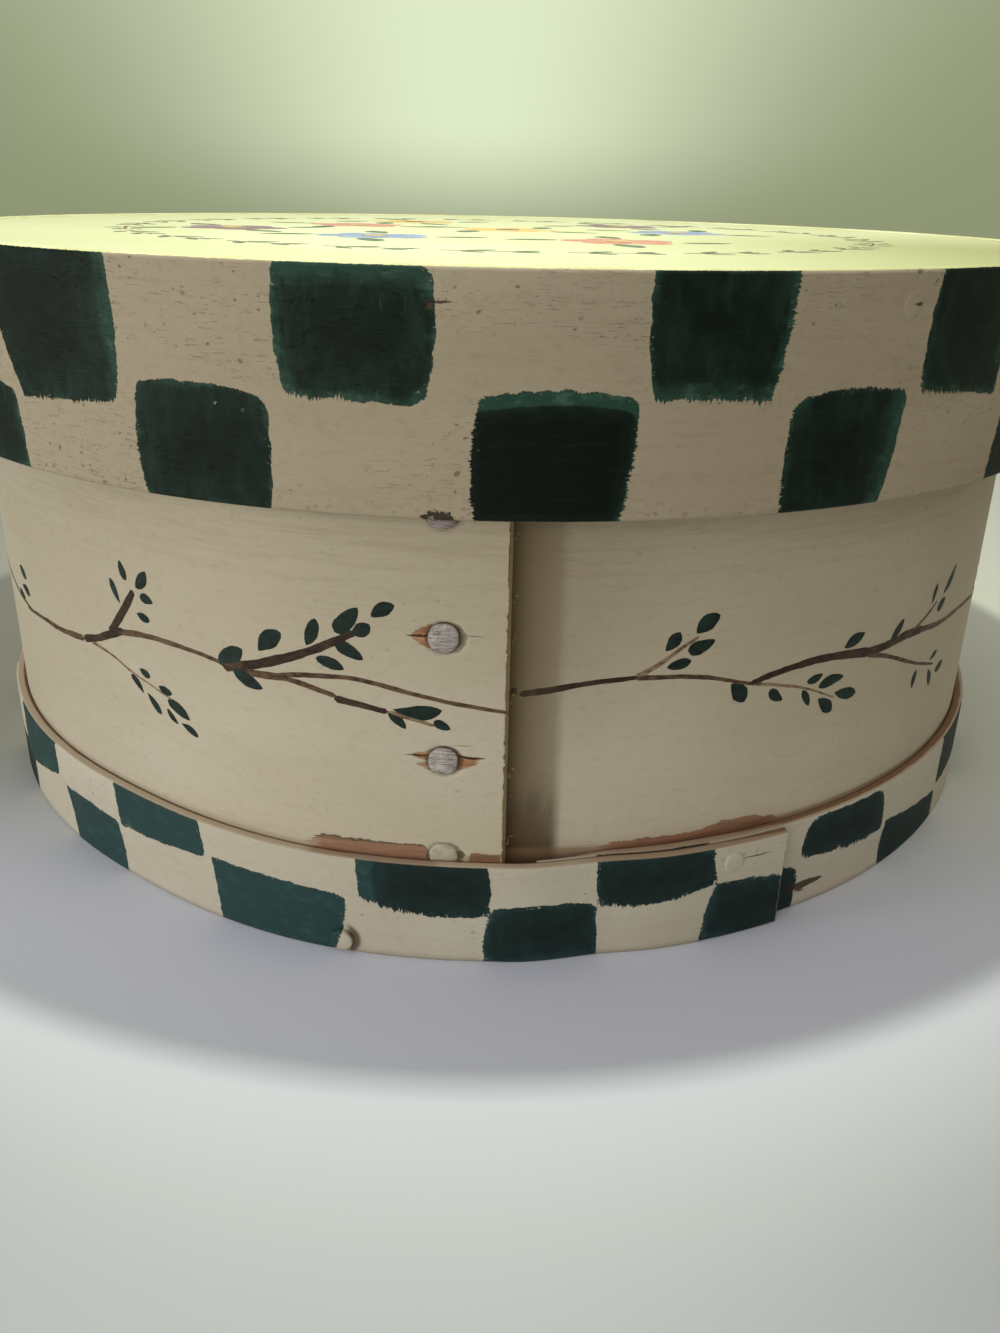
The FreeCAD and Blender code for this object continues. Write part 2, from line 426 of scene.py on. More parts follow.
def pits(finish, spacing, size, share, drawn_out=1.0):
    """1 in small uneven specks near some cell centres of a Voronoi pattern, drawn out along the grain."""
    where = finish.place.stretched(1 / (drawn_out * spacing), 1 / (drawn_out * spacing), 1 / spacing)
    shaken = (finish.noise(1.7, 1.7, 1.7, 3, 0.7) - 0.5) * (3.2 * size / spacing)
    where = where.node("ShaderNodeVectorMath", {"operation": "ADD"}, {0: where, 1: shaken})
    distance = where.node("ShaderNodeTexVoronoi", None, {"Vector": where, "Scale": 1.0})
    chance = where.node("ShaderNodeTexVoronoi", None, {"Vector": where, "Scale": 1.0}, output=1)
    picked = chance.node("ShaderNodeSeparateColor", None, {0: chance}).between(1 - share, 1 - share + 0.02)
    return distance.between(size / spacing, 0.55 * size / spacing) * picked


def patch(finish, start, end, low, high, ragged=0.5, comb=0.0):
    """A painted or bared patch between two places along and two heights: 1 inside, its edges torn.

    comb lets the two ends run out unevenly in streaks along the grain, by up to that many millimetres.
    """
    torn = (finish.noise(0.9, 0.9, 0.9, 3, 0.65) - 0.5) * ragged * 2
    streak = (finish.noise(0.15, 0.15, 2.6, 3, 0.7) - 0.5) * comb * 4
    ends = (finish.along - (start + end) / 2).size() - (end - start) / 2 + streak
    sides = (finish.z - (low + high) / 2).size() - (high - low) / 2
    return (ends.larger(sides) + torn).between(0.2, -0.1)


def fan(finish, tip, foot, tip_up, foot_up, tip_half, foot_half):
    """Bared wood beside a peg: twice foot_half high at the foot, narrowing in streaks toward the tip."""
    share = (finish.along - tip) / (foot - tip)
    middle = share * (foot_up - tip_up) + tip_up
    half = share * (foot_half - tip_half) + tip_half
    streak = finish.noise(0.12, 0.12, 2.4, 3, 0.7)
    inside = half - (finish.z - middle).size() + (streak - 0.5) * 1.6
    streaked = (share - streak * 0.9 + 0.28).between(0.0, 0.12)
    return inside.between(0.0, 0.3) * streaked * share.between(1.15, 1.05)


def slit(finish, along_start, along_end, up, half_up):
    """A thin split along the grain, tapering to its ends, with a slightly wandering line."""
    wander = (finish.noise(0.5, 0.5, 0.5, 3, 0.6) - 0.5) * 0.6
    middle, half = (along_start + along_end) / 2, (along_end - along_start) / 2
    taper = 1 - ((finish.along - middle) / half).size()
    reach = (finish.z - up + wander).size()
    return (taper.larger(0) ** 0.5 * half_up - reach).between(-0.02, 0.12)


def any_of(*shades):
    """The largest of several values between 0 and 1."""
    largest = shades[0]
    for shade in shades[1:]:
        largest = largest.larger(shade)
    return largest


def crescent(finish, up, reach):
    """The torn edge round a lap peg and the painted shadow that the peg casts on its right: widest at its
    right, 1 at the peg, fading to a line further out.
    """
    across, rise = finish.along - LAP_PEG_ALONG, finish.z - up
    distance = (across * across + rise * rise) ** 0.5
    wander = (finish.noise(0.9, 0.9, 0.9, 2, 0.6) - 0.5) * 1.2
    toward_right = (across / distance.larger(0.1)).larger(0) ** 1.6
    edge = toward_right * reach + LAP_PEG_RADIUS + 0.1 + wander * toward_right - distance
    return edge.between(-0.12, 0.12) * (edge * 0.35 + 0.55)


# Colours of the finishes, as they show
CREAM = colour(184, 174, 151)
CREAM_DEEP = colour(165, 152, 126)
CREAM_PALE = colour(195, 187, 169)
RIM_CREAM = colour(160, 148, 125)
RIM_CREAM_DEEP = colour(136, 122, 96)
RIM_CREAM_PALE = colour(176, 165, 142)
HOOP_CREAM = colour(182, 175, 156)
HOOP_CREAM_DEEP = colour(165, 154, 130)
HOOP_CREAM_PALE = colour(193, 188, 172)
LID_CREAM = colour(218, 222, 170)
LID_CREAM_DEEP = colour(206, 208, 150)
LID_CREAM_PALE = colour(226, 230, 190)
LID_CREAM_SHADED = colour(164, 167, 110)
LID_GREEN = colour(18, 33, 25)
LID_GREEN_DEEP = colour(8, 17, 12)
LID_GREEN_THIN = colour(38, 66, 53)
LID_GREEN_SCANT = colour(66, 94, 80)
HOOP_GREEN = colour(24, 42, 40)
HOOP_GREEN_DEEP = colour(16, 30, 27)
HOOP_GREEN_THIN = colour(36, 62, 61)
HOOP_GREEN_SCANT = colour(48, 77, 75)
LEAF = colour(27, 43, 36)
LEAF_DARK = colour(18, 30, 25)
LEAF_THIN = colour(50, 73, 63)
TWIG = colour(96, 74, 54)
TWIG_DARK = colour(60, 43, 31)
TWIG_THIN = colour(138, 116, 90)
RAW = colour(176, 130, 90)
RAW_DEEP = colour(134, 90, 58)
SPLIT = colour(50, 28, 14)
RUST = colour(146, 100, 72)
RUST_DEEP = colour(108, 72, 52)
LEDGE_BROWN = colour(136, 106, 78)
LEDGE_PALE = colour(184, 168, 143)
# Dark brown for dirt in dents and pits, and for painted shade on the wall.
DIRT_AND_SHADE = colour(106, 92, 66)
STAIN = colour(72, 54, 36)
# Painted shadow beside the seam's step.
SEAM_SHADOW = colour(100, 84, 56)
BARE = colour(192, 158, 112)
BARE_DEEP = colour(158, 120, 78)
END_BROWN = colour(184, 164, 128)
# Torn paint round the pegs, and the painted shadow that the pegs cast on their right.
PEG_SHADOW_AND_TEAR = colour(84, 70, 48)
CLOT = colour(30, 22, 24)
PEG = colour(172, 166, 160)
PEG_DEEP = colour(120, 110, 107)
PEG_PALE = colour(198, 194, 187)


def cream_base(finish, main, deep, pale, marks=1.0):
    """Brushed paint over grain: deeper in fine streaks, paler in broad patches, with dents and dark specks.

    Where the marks crowd, short dark dashes run along the grain, and small craters have a pale lip.
    """
    grain = wood_grain(finish)
    broad = finish.noise(0.012, 0.012, 0.03, 2, 0.5)
    crowd = finish.noise(0.028, 0.028, 0.05, 2, 0.5).between(0.45, 0.58)
    mottle = finish.noise(0.35, 0.35, 0.6, 4, 0.7)
    base = finish.blend(main, deep, grain.between(0.48, 0.74) * 0.32)
    base = base.mixed(pale, broad.between(0.42, 0.66) * 0.5)
    base = base.mixed(deep, mottle.between(0.5, 0.7) * 0.3)
    dashes = finish.noise(0.3, 0.3, 2.8, 3, 0.7).between(0.61, 0.67) * (crowd * 0.85 + 0.1)
    craters = pits(finish, 2.6, 0.5, 0.15, 1.3).larger(pits(finish, 1.3, 0.3, 0.16, 1.5)) * crowd
    lips = pits(finish, 2.3, 0.5, 0.18, 1.8) * crowd
    specks = pits(finish, 3.7, 0.3, 0.05).larger(pits(finish, 6.1, 0.45, 0.1, 1.8) * crowd)
    base = base.mixed(deep, dashes * 0.38 * marks)
    base = base.mixed(DIRT_AND_SHADE, craters * 0.7 * marks)
    base = base.mixed(pale, lips * 0.6 * marks)
    base = base.mixed(STAIN, specks * 0.75 * marks)
    height = grain * 0.45 + mottle * 0.5 + lips * 0.5 * marks - craters * 0.9 * marks - dashes * 0.5 * marks
    return base, height - specks * 0.4, grain


def bared(finish, base, grain, where):
    """The colour with bare wood where no paint reached: the inside and the underside."""
    return base.mixed(finish.blend(BARE, BARE_DEEP, grain.between(0.42, 0.66)), where)


def with_checks(finish, base, height, deepest, green, thin, scant, scratch_and_glint):
    """Green squares in two coats, each where its field is above zero, bristle marks where the field asks.

    Noise drawn out up the band tears the lower and upper edges, the same drawn out round it the sides. The
    second coat is the dark one; where it stops, the first shows lighter, and scant in a few strokes.
    """
    upright = finish.noise(2.4, 2.4, 0.3, 4, 0.65) - 0.5
    level = finish.noise(0.3, 0.3, 2.4, 4, 0.65) - 0.5
    wander = finish.noise(0.3, 0.3, 0.3, 3, 0.6) - 0.5
    some = finish.noise(0.11, 0.11, 0.11, 2, 0.5).between(0.4, 0.56) * 0.85 + 0.15
    torn = upright * finish.attribute("upright_teeth") + level * finish.attribute("level_teeth")
    edge = finish.attribute("first_coat") + wander * 1.5 + torn * some * 4.6
    broken = finish.noise(0.8, 0.8, 1.3, 4, 0.75).between(0.6, 0.66) * edge.between(1.1, 0.1)
    first = (edge + (upright + level) * 0.3).between(-0.1, 0.1) * (1 - broken * 0.85)
    drift = finish.noise(0.12, 0.12, 0.12, 4, 0.6) - 0.5
    strokes = finish.noise(1.0, 1.0, 0.13, 4, 0.65)
    crossing = finish.noise(0.13, 0.13, 1.0, 4, 0.65)
    second = finish.attribute("second_coat") + drift * 4.6 + (strokes + crossing - 1) * 1.8
    dark = second.between(-0.8, 1.5) * (crossing.between(0.72, 0.55) * 0.08 + 0.92)
    cloud = finish.noise(0.25, 0.25, 0.4, 5, 0.7)
    sparse = cloud.between(0.5, 0.66) * 0.75
    brushed = finish.noise(0.3, 0.3, 0.12, 4, 0.6).between(0.44, 0.64)
    worked = finish.blend(green, deepest, cloud.between(0.58, 0.38) * 0.4 + second.between(1.5, 7.5) * 0.5)
    full = finish.blend(finish.blend(worked, thin, brushed * second.between(7.0, 1.0) * 0.28), deepest,
                        second.between(9.0, 14.0))
    paint = finish.blend(finish.blend(thin, scant, sparse), full, dark)
    # Pale flecks in the green: scratches down to the cream, and painted glints.
    scratches_and_glints = pits(finish, 3.4, 0.34, 0.07, 1.5)
    paint = finish.blend(paint, scratch_and_glint, scratches_and_glints * 0.5)
    on_face = finish.attribute("outer_face") + upright * 0.8
    mask = first * on_face.between(0.3, 0.6)
    cover = finish.noise(0.6, 0.6, 1.2, 4, 0.7)
    return finish.blend(base, paint, mask), height + mask * 0.35 + cover * mask * 0.5, mask


def wall_finish():
    """Cream paint of the wall with its stains, painted shade toward the lid, at its sides and beside the
    seam, and the torn paint, splits and painted peg shadows beside the lap's pegs.
    """
    finish = Finish("wall_paint")
    base, height, grain = cream_base(finish, CREAM, CREAM_DEEP, CREAM_PALE, 0.3)
    # Painted shade: the wall darkens toward the lid, under its overhang; just below the lid, streaks along
    # the grain are partly dirt and partly painted shade.
    shade_toward_lid = finish.z.between(LID_LOW - 62, LID_LOW)
    base = base.mixed(DIRT_AND_SHADE, shade_toward_lid * 0.16)
    dirt_and_shade_near_lid = finish.z.between(LID_LOW - 26, LID_LOW - 2) * grain.between(0.44, 0.62)
    base = base.mixed(DIRT_AND_SHADE, dirt_and_shade_near_lid * 0.14)
    # Painted shade: the wall darkens toward its sides, away from the front.
    beside = finish.along.size().between(45, 130)
    base = base.mixed(DIRT_AND_SHADE, beside * 0.12)
    from_seam = finish.along - SEAM_ALONG
    lower_layer = finish.from_axis().between(WALL_RADIUS + 2.2, WALL_RADIUS + 1.4)
    # Painted shadow: a dark strip right of the seam, where the lap's step shades the layer beneath, and a
    # softer painted shade further right.
    shade = from_seam.between(11.4, 8.4) * from_seam.between(-3.0, -2.5) * lower_layer
    base = base.mixed(SEAM_SHADOW, shade * (0.97 - from_seam * 0.045))
    base = base.mixed(SEAM_SHADOW, from_seam.between(40, 6) * (1 - shade) * from_seam.between(0, 8)
                      * finish.z.between(32, 70) * 0.3)
    stained = finish.z + (finish.noise(0.3, 0.3, 0.1, 2, 0.5) - 0.5) * 12
    base = base.mixed(STAIN, shade * stained.between(44, 26) * 0.75)
    # Painted shade: a dark spot that stands in for the shade inside a small hole by the seam.
    hollow = patch(finish, 6.4, 7.5, 59.9, 61.1, 0.8)
    base = base.mixed(SPLIT, hollow * 0.7)
    foot = (finish.z - HOOP_HEIGHT - (grain - 0.4) * 2.4).between(1.2, 0.1)
    base = base.mixed(LEDGE_BROWN, foot * (finish.along.between(-40, 20) * 0.4 + 0.25))
    torn = (finish.noise(0.16, 0.16, 1.6, 3, 0.7) - 0.5) * 6
    jagged = (finish.noise(0.5, 0.5, 0.5, 3, 0.7) - 0.5) * 1.8
    bared_left = (finish.along + torn).between(-36, -31) * finish.along.between(-8.0, -10.5)
    bared_seam = finish.along.between(-1.4, -0.8) * finish.along.between(6.4, 5.8)
    bared_right = (finish.along + torn).between(24, 30) * (finish.along + torn).between(72, 66)
    peak = (finish.along - 57).size().between(11, 2)
    worn = any_of(bared_left, bared_right, bared_seam)
    reach = bared_left * 3.0 + bared_seam * 1.6 + bared_right * (peak * 1.3 + 1.6) + jagged * worn
    reach = reach - (finish.z - HOOP_HEIGHT)
    raw_foot = reach.between(-0.1, 0.15) * worn
    base = base.mixed(finish.blend(RUST, RUST_DEEP, grain.between(0.4, 0.62)), raw_foot * 0.85)
    outline = (reach.between(-0.35, -0.1) * reach.between(0.35, 0.1) * bared_left).larger(
        slit(finish, -3.7, -1.9, HOOP_HEIGHT + 1.2, 1.0))
    base = base.mixed(STAIN, outline * 0.75)
    peg_2, peg_3 = LAP_PEG_HEIGHTS[2], LAP_PEG_HEIGHTS[1]
    raw = any_of(fan(finish, -12.9, -8.8, peg_2 + 0.3, peg_2 + 0.2, 0.5, 2.6),
                 fan(finish, -13.2, -8.6, peg_3 + 1.1, peg_3 + 1.1, 0.3, 1.4),
                 fan(finish, -12.4, -8.6, peg_3 - 0.9, peg_3 - 1.2, 0.1, 1.2) * 0.8,
                 fan(finish, 1.6, -3.8, peg_3 + 0.4, peg_3 - 0.3, 0.5, 2.0))
    split = any_of(*(slit(finish, *place) for place in (
        (-13.4, -8.4, peg_2 + 0.25, 0.3), (-3.0, 1.7, peg_2 + 0.55, 0.1), (-14.0, -8.4, peg_3 + 1.0, 0.22),
        (-4.0, 1.8, peg_3 + 0.9, 0.34), (-5.0, -0.2, peg_3 + 3.5, 0.1))))
    base = base.mixed(finish.blend(RAW, RAW_DEEP, grain.between(0.38, 0.6)), raw * 0.9)
    # Torn paint round the lap pegs, with painted shadow on their right.
    torn_edge_and_shadow = any_of(crescent(finish, peg_2, 1.2), crescent(finish, peg_3, 0.7),
                       crescent(finish, LAP_PEG_HEIGHTS[0], 1.0))
    base = base.mixed(PEG_SHADOW_AND_TEAR, torn_edge_and_shadow * 0.85)
    base = base.mixed(SPLIT, split * 0.9)
    end = finish.attribute("end_face").between(0.15, 0.7)
    fibres = finish.noise(0.9, 0.9, 1.6, 3, 0.7).between(0.52, 0.6)
    base = base.mixed(finish.blend(END_BROWN, CREAM_DEEP, fibres * 0.45), end)
    inside = finish.attribute("outer_face").between(0.6, 0.4) * (1 - end)
    base = bared(finish, base, grain, inside)
    height = height - raw * 0.9 - split * 1.6 - raw_foot * 0.6 + end * fibres * 2.0
    return finish.done(base, 0.58 + raw * 0.3 + grain * 0.12, finish.relief(height, 0.13, 0.7), 0.2)


def top_of_hoop(finish):
    """How rust-brown the hoop's raw top edge is, 0 to 1: strong either side of the seam, then fading."""
    broken = (finish.noise(0.1, 0.1, 0.1, 3, 0.6) - 0.5) * 5
    angle = finish.angle + broken
    left = angle.between(-15.5, -12.5) * angle.between(-2.4, -3.4)
    right = angle.between(6.5, 12.0) * angle.between(36.0, 28.0)
    return left.larger(right)


def rim_finish():
    """The lid's rim: taupe cream with dark green squares; its top edge is yellow like the lid."""
    finish = Finish("rim_paint")
    base, height, grain = cream_base(finish, RIM_CREAM, RIM_CREAM_DEEP, RIM_CREAM_PALE)
    low_edge = finish.z.between(LID_LOW + 5, LID_LOW + 1) * pits(finish, 1.0, 0.45, 0.3, 1.3)
    base = base.mixed(RIM_CREAM_DEEP, low_edge * 0.7)
    split = any_of(slit(finish, -8.6, -4.2, LID_PEG_HEIGHT + 0.4, 0.3),
                   slit(finish, 74.6, 76.8, LID_PEG_HEIGHT, 0.4))
    chip = patch(finish, -8.4, -7.4, LID_PEG_HEIGHT - 0.7, LID_PEG_HEIGHT + 0.5, 0.5, 0.5)
    base, height, mask = with_checks(finish, base, height, LID_GREEN_DEEP, LID_GREEN, LID_GREEN_THIN,
                                     LID_GREEN_SCANT, RIM_CREAM_PALE)
    rim = finish.attribute("rim")
    ring = rim.between(0.0, 0.25) * rim.between(1.1, 0.8)
    parts = finish.noise(0.22, 0.22, 0.22, 2, 0.5).between(0.46, 0.56)
    base = base.mixed(finish.blend(RIM_CREAM_PALE, LID_GREEN_SCANT, mask), ring * parts * 0.35)
    base = base.mixed(RUST_DEEP, chip * 0.4)
    base = base.mixed(SPLIT, split * 0.85)
    streak = finish.noise(0.06, 0.06, 0.06, 3, 0.6)
    chipped = finish.noise(0.8, 0.8, 0.8, 3, 0.7) - 0.5
    top = (finish.attribute("top_face") + chipped * 0.7).between(0.4, 0.6)
    yellow = finish.blend(LID_CREAM, LID_CREAM_DEEP, streak.between(0.4, 0.6))
    # Painted shade: the yellow top edge darkens toward the right side of the lid.
    yellow = finish.blend(yellow, LID_CREAM_SHADED, finish.x.between(0, 130) * finish.y.between(60, -60))
    base = base.mixed(joint_line(finish, yellow), top)
    across, rise = (finish.along - LAP_PEG_ALONG) * 0.42, (finish.z - LID_LOW - 0.1) * 0.68
    clots = finish.noise(0.7, 0.7, 0.7, 3, 0.65) - (across * across + rise * rise) * 0.14
    clots = clots.between(0.31, 0.37)
    base = base.mixed(CLOT, clots * 0.9)
    hidden = finish.attribute("outer_face").between(0.5, 0.2) * (1 - top)
    base = bared(finish, base, grain, hidden)
    height = height + clots * 0.8
    return finish.done(base, 0.58 - mask * 0.06 + grain * 0.12, finish.relief(height, 0.16, 0.85), 0.13)


def hoop_finish():
    """The hoop: pale cream with teal and green squares; its top edge is worn to rust-brown wood in parts."""
    finish = Finish("hoop_paint")
    base, height, grain = cream_base(finish, HOOP_CREAM, HOOP_CREAM_DEEP, HOOP_CREAM_PALE, 0.5)
    base, height, mask = with_checks(finish, base, height, HOOP_GREEN_DEEP, HOOP_GREEN, HOOP_GREEN_THIN,
                                     HOOP_GREEN_SCANT, HOOP_CREAM_PALE)
    knot = patch(finish, 74.5, 77.0, 4.0, 6.0, 0.9, 1.6).larger(slit(finish, 71.0, 83.0, 5.6, 1.1))
    split = slit(finish, 56.0, 64.0, HOOP_PEG_HEIGHT + 0.5, 0.26)
    base = base.mixed(SPLIT, knot * 0.9)
    base = base.mixed(STAIN, split * 0.8)
    # The hoop darkens toward its bottom edge.
    darker_at_foot = finish.z.between(2.0, 0.2) * 0.35
    base = base.mixed(DIRT_AND_SHADE, darker_at_foot * (1 - mask))
    near_peg = finish.along - math.radians(BOTTOM_PEG_FIRST_ANGLE) * WALL_RADIUS
    near_peg = near_peg * (1.0 + HOOP_THICKNESS / WALL_RADIUS)
    over_peg = finish.z - BOTTOM_PEG_LOW
    off_peg = (near_peg * near_peg + over_peg * over_peg) ** 0.5
    # Painted shadow that the proud bottom peg casts on its right.
    beside = near_peg.between(0.4, 2.0) * off_peg.between(4.3, 3.4) * off_peg.between(2.2, 2.5)
    base = base.mixed(PEG_SHADOW_AND_TEAR, beside * 0.85)
    # Painted highlight: the lap's end is paler, as if lit.
    end = finish.attribute("end_face").between(0.25, 0.8)
    base = base.mixed(HOOP_CREAM_PALE, end * (1 - mask * 0.8) * 0.9)
    rust = top_of_hoop(finish)
    across = finish.attribute("across")
    uneven = finish.noise(0.12, 0.12, 0.12, 3, 0.6) - 0.5
    brown_to = 0.22 + finish.angle.between(20, 30) * finish.angle.between(95, 60) * 0.5 + uneven * 0.6
    chipped = finish.noise(0.9, 0.9, 0.9, 3, 0.7) - 0.5
    top = (finish.attribute("top_face") + chipped * 0.3).between(0.3, 0.6)
    worn = finish.blend(RUST, RUST_DEEP, grain.between(0.36, 0.62))
    painted = finish.blend(LEDGE_BROWN, LEDGE_PALE, (across - brown_to).between(-0.08, 0.12))
    base = base.mixed(finish.blend(painted, worn, rust * 0.4), top)
    hidden = finish.attribute("outer_face").between(0.5, 0.2) * (1 - top) * (1 - end)
    base = bared(finish, base, grain, hidden)
    return finish.done(base, 0.58 - mask * 0.06 + grain * 0.12, finish.relief(height, 0.13, 0.8), 0.16)


def joint_line(finish, base):
    """Fine broken brown cracks where the lid board meets the rim."""
    off_joint = (finish.from_axis() - LID_INNER_RADIUS + 0.1).size()
    dashes = finish.noise(0.045, 0.045, 0.045, 3, 0.6).between(0.47, 0.55)
    return finish.blend(base, TWIG_DARK, off_joint.between(0.32, 0.16) * dashes * 0.85)


def lid_top_finish():
    """Pale yellow paint on the lid board, with fine cracks where it meets the rim; bare wood beneath."""
    finish = Finish("lid_paint")
    grain = wood_grain(finish, "straight")
    broad = finish.noise(0.014, 0.014, 0.014, 2, 0.5)
    base = finish.blend(LID_CREAM, LID_CREAM_DEEP, grain.between(0.45, 0.7) * 0.6)
    base = base.mixed(LID_CREAM_PALE, broad.between(0.45, 0.65) * 0.5)
    base = base.mixed(DIRT_AND_SHADE, pits(finish, 9.0, 0.5, 0.12) * 0.5)
    # Painted shade: the lid's top darkens toward its right side.
    base = base.mixed(LID_CREAM_SHADED, finish.x.between(0, 130) * finish.y.between(60, -60))
    base = joint_line(finish, base)
    under = finish.z.between(LID_TOP - 1.0, LID_TOP - 2.0)
    base = bared(finish, base, grain, under)
    return finish.done(base, 0.32 + grain * 0.15, finish.relief(grain, 0.1, 0.5), 0.5)


def bare_wood_finish():
    """Bare, aged softwood of the bottom board."""
    finish = Finish("bare_wood")
    grain = wood_grain(finish, "straight")
    base = finish.blend(BARE, BARE_DEEP, grain.between(0.4, 0.68))
    base = base.mixed(DIRT_AND_SHADE, pits(finish, 14.0, 1.6, 0.2) * 0.6)
    return finish.done(base, 0.62 + grain * 0.2, finish.relief(grain, 0.2, 0.7))


def peg_finish():
    """Weathered end grain: lilac-grey, with short dark and pale streaks along the grain; browner sides."""
    finish = Finish("peg_end_grain")
    streak = finish.noise(0.32, 0.32, 2.8, 4, 0.75)
    fine = finish.noise(0.9, 0.9, 8.0, 3, 0.75)
    bands = finish.noise(0.7, 0.7, 0.35, 2, 0.6)
    base = finish.blend(PEG, PEG_DEEP, streak.between(0.47, 0.6) * 0.85)
    base = base.mixed(PEG_PALE, bands.between(0.48, 0.62) * streak.between(0.56, 0.46) * 0.8)
    base = base.mixed(colour(112, 98, 90), fine.between(0.56, 0.66) * 0.8)
    side = finish.attribute("rim").between(0.35, 0.9)
    base = base.mixed(colour(98, 84, 62), side * 0.85)
    return finish.done(base, 0.78 + fine * 0.1, finish.relief(streak * 0.6 + fine * 0.4, 0.3, 0.9), 0.15)


def dark_peg_finish():
    """The peg half under the lid: lilac-grey, its upper part with near-black clots of old glue."""
    finish = Finish("peg_dark")
    streak = finish.noise(0.45, 0.45, 2.6, 4, 0.7)
    clots = finish.noise(0.8, 0.8, 0.6, 3, 0.6)
    base = finish.blend(colour(156, 144, 142), colour(112, 100, 98), streak.between(0.45, 0.62))
    dark = (finish.z - LAP_PEG_HEIGHTS[3] + 1.3).between(-0.3, 0.4)
    base = base.mixed(CLOT, dark * clots.between(0.4, 0.46))
    return finish.done(base, 0.7, finish.relief(streak + dark * clots, 0.25, 0.8), 0.2)


def brushed_finish(name, main, dark, thin, dry=0.5):
    """Thick brushed paint: the main colour, darker in streaks, thin and pale where the brush ran dry."""
    finish = Finish(name)
    streak = finish.noise(0.5, 0.5, 1.1, 4, 0.65)
    broad = finish.noise(0.16, 0.16, 0.2, 2, 0.5)
    base = finish.blend(main, dark, streak.between(0.42, 0.62))
    base = base.mixed(thin, broad.between(0.5, 0.68) * streak.between(0.35, 0.6) * dry)
    return finish.done(base, 0.5 + streak * 0.15, finish.relief(streak, 0.05, 0.7), 0.2)


wall_paint = wall_finish()
rim_paint = rim_finish()
hoop_paint = hoop_finish()
lid_paint = lid_top_finish()
bare_wood = bare_wood_finish()
peg_wood = peg_finish()
dark_peg_wood = dark_peg_finish()
peg_cream = brushed_finish("peg_cream", HOOP_CREAM, HOOP_CREAM_DEEP, HOOP_CREAM_PALE)
fibre_paint = brushed_finish("fibre_paint", colour(134, 118, 88), END_BROWN, CREAM_DEEP)
leaf_paint = brushed_finish("leaf_paint", LEAF, LEAF_DARK, LEAF_THIN, 0.45)
twig_paint = brushed_finish("twig_paint", TWIG, TWIG_DARK, TWIG_THIN, 0.45)
dark_twig_paint = brushed_finish("dark_twig_paint", TWIG_DARK, colour(40, 26, 20), TWIG, 0.6)
pale_twig_paint = brushed_finish("pale_twig_paint", TWIG_THIN, TWIG, colour(164, 146, 118), 0.6)
BLOSSOM_COLOURS = {
    "red": [(205, 150, 128), (184, 122, 104), (214, 186, 150)],
    "ochre": [(220, 196, 126), (204, 172, 104), (226, 212, 152)],
    "blue": [(150, 166, 190), (124, 142, 176), (188, 200, 190)],
    "plum": [(150, 128, 130), (122, 98, 106), (186, 170, 150)],
}
blossom_paints = {tone: brushed_finish(f"{tone}_paint", *(colour(*shown) for shown in coats))
                  for tone, coats in BLOSSOM_COLOURS.items()}
lid_leaf_paint = brushed_finish("lid_leaf_paint", colour(104, 122, 98), colour(78, 98, 80),
                                colour(146, 158, 122), 0.45)


SQUARES_ROUND = 16
SECOND_COAT_OVER = 1.3
LID_UPPER_REST, LID_LOWER_REST = (117.4, 142), (94, 117.8)
HOOP_UPPER_REST, HOOP_LOWER_REST = (12.2, 26), (-3, 12.6)


def square(left, right, bottom, top, corners=(1.2, 1.2, 1.2, 1.2), teeth=(0.1, 0.1, 0.3, 0.1),
           short=(1.0, 1.0, 1.0, 1.0), crisp=0.4):
    """One painted square. Each side is a place, or three along it: low to high, and left to right.

    corners are the radii bottom left, bottom right, top left, top right; teeth how torn the left, right,
    bottom and top are, in millimetres; short how far the second coat stops from those, crisp how sharply.
    """
    sides = [np.broadcast_to(side, 3).astype(float) for side in (left, right, bottom, top)]
    return sides, corners, teeth, short, crisp


ONE_COAT = (30, 30, 30, 30)
LID_UPPER_SQUARES = [
    square((-36.6, -39.0, -39.9), (-26.3, -25.8, -26.3), (111.3, 112.3, 113.8), 142, (0.5, 1.2, 1, 1),
           (0.2, 0.15, 0.8, 0), (0, 3.4, 1.0, 0), 0.25),
    square((-12.9, -13.5, -13.2), (-3.6, -2.9, -3.1), (117.6, 117.3, 116.3), 139.9, (1.6, 3.4, 0.5, 3.6),
           (0, 0.15, 1.0, 0.2), (2.2, 1.4, 2.4, 4.4), 0.3),
    square((11.2, 10.7, 10.9), (19.6, 20.5, 20.8), (118.0, 118.1, 117.2), 142, (1.6, 1.2, 1, 0.6),
           (0, 0.6, 0.9, 0), (1.6, 2.4, 3.6, 3.0), 0.22),
    square((32.7, 32.6, 33.5), (42.2, 42.6, 42.8), (117.2, 116.4, 114.8), 142, (1.2, 1, 1, 1),
           (0.3, 0.2, 0.7, 0), (1.4, 3.4, 1.8, 3.0), 0.22)]
LID_LOWER_SQUARES = [
    square(-48.0, (-37.0, -37.3, -37.9), 94, (114.4, 114.0, 112.4), (1, 1, 1, 1.0),
           (0, 0.15, 0, 0.2), (0, 2.0, 4.0, 0), 0.3),
    square((-23.9, -24.8, -24.2), (-14.5, -14.1, -14.4), 94, (117.7, 118.6, 117.0), (1, 1, 0.6, 3.0),
           (0.4, 0, 0, 0.15), (1.6, 1.2, 3.4, 1.2), 0.25),
    square((-0.1, -0.6, 0.1), (9.1, 10.1, 10.3), 94, (118.4, 119.9, 118.8), (1, 2.0, 0.8, 2.0),
           (0.45, 0.6, 0, 0.12), (-0.6, 0.5, 2.6, 2.6), 2.0),
    square((21.4, 21.1, 21.6), (29.6, 30.8, 31.2), 94, (117.6, 119.1, 118.3), (1, 1, 3.2, 0.8),
           (0.7, 0, 0, 0.4), (0.8, 4.4, 3.2, 1.2), 0.3),
    square((43.0, 43.7, 44.5), 53.0, 94, (116.4, 117.2, 117.0), (1, 1, 1, 1), (0.2, 0, 0, 0.2),
           (1.2, 2.5, 1.0, 0.8), 0.3)]
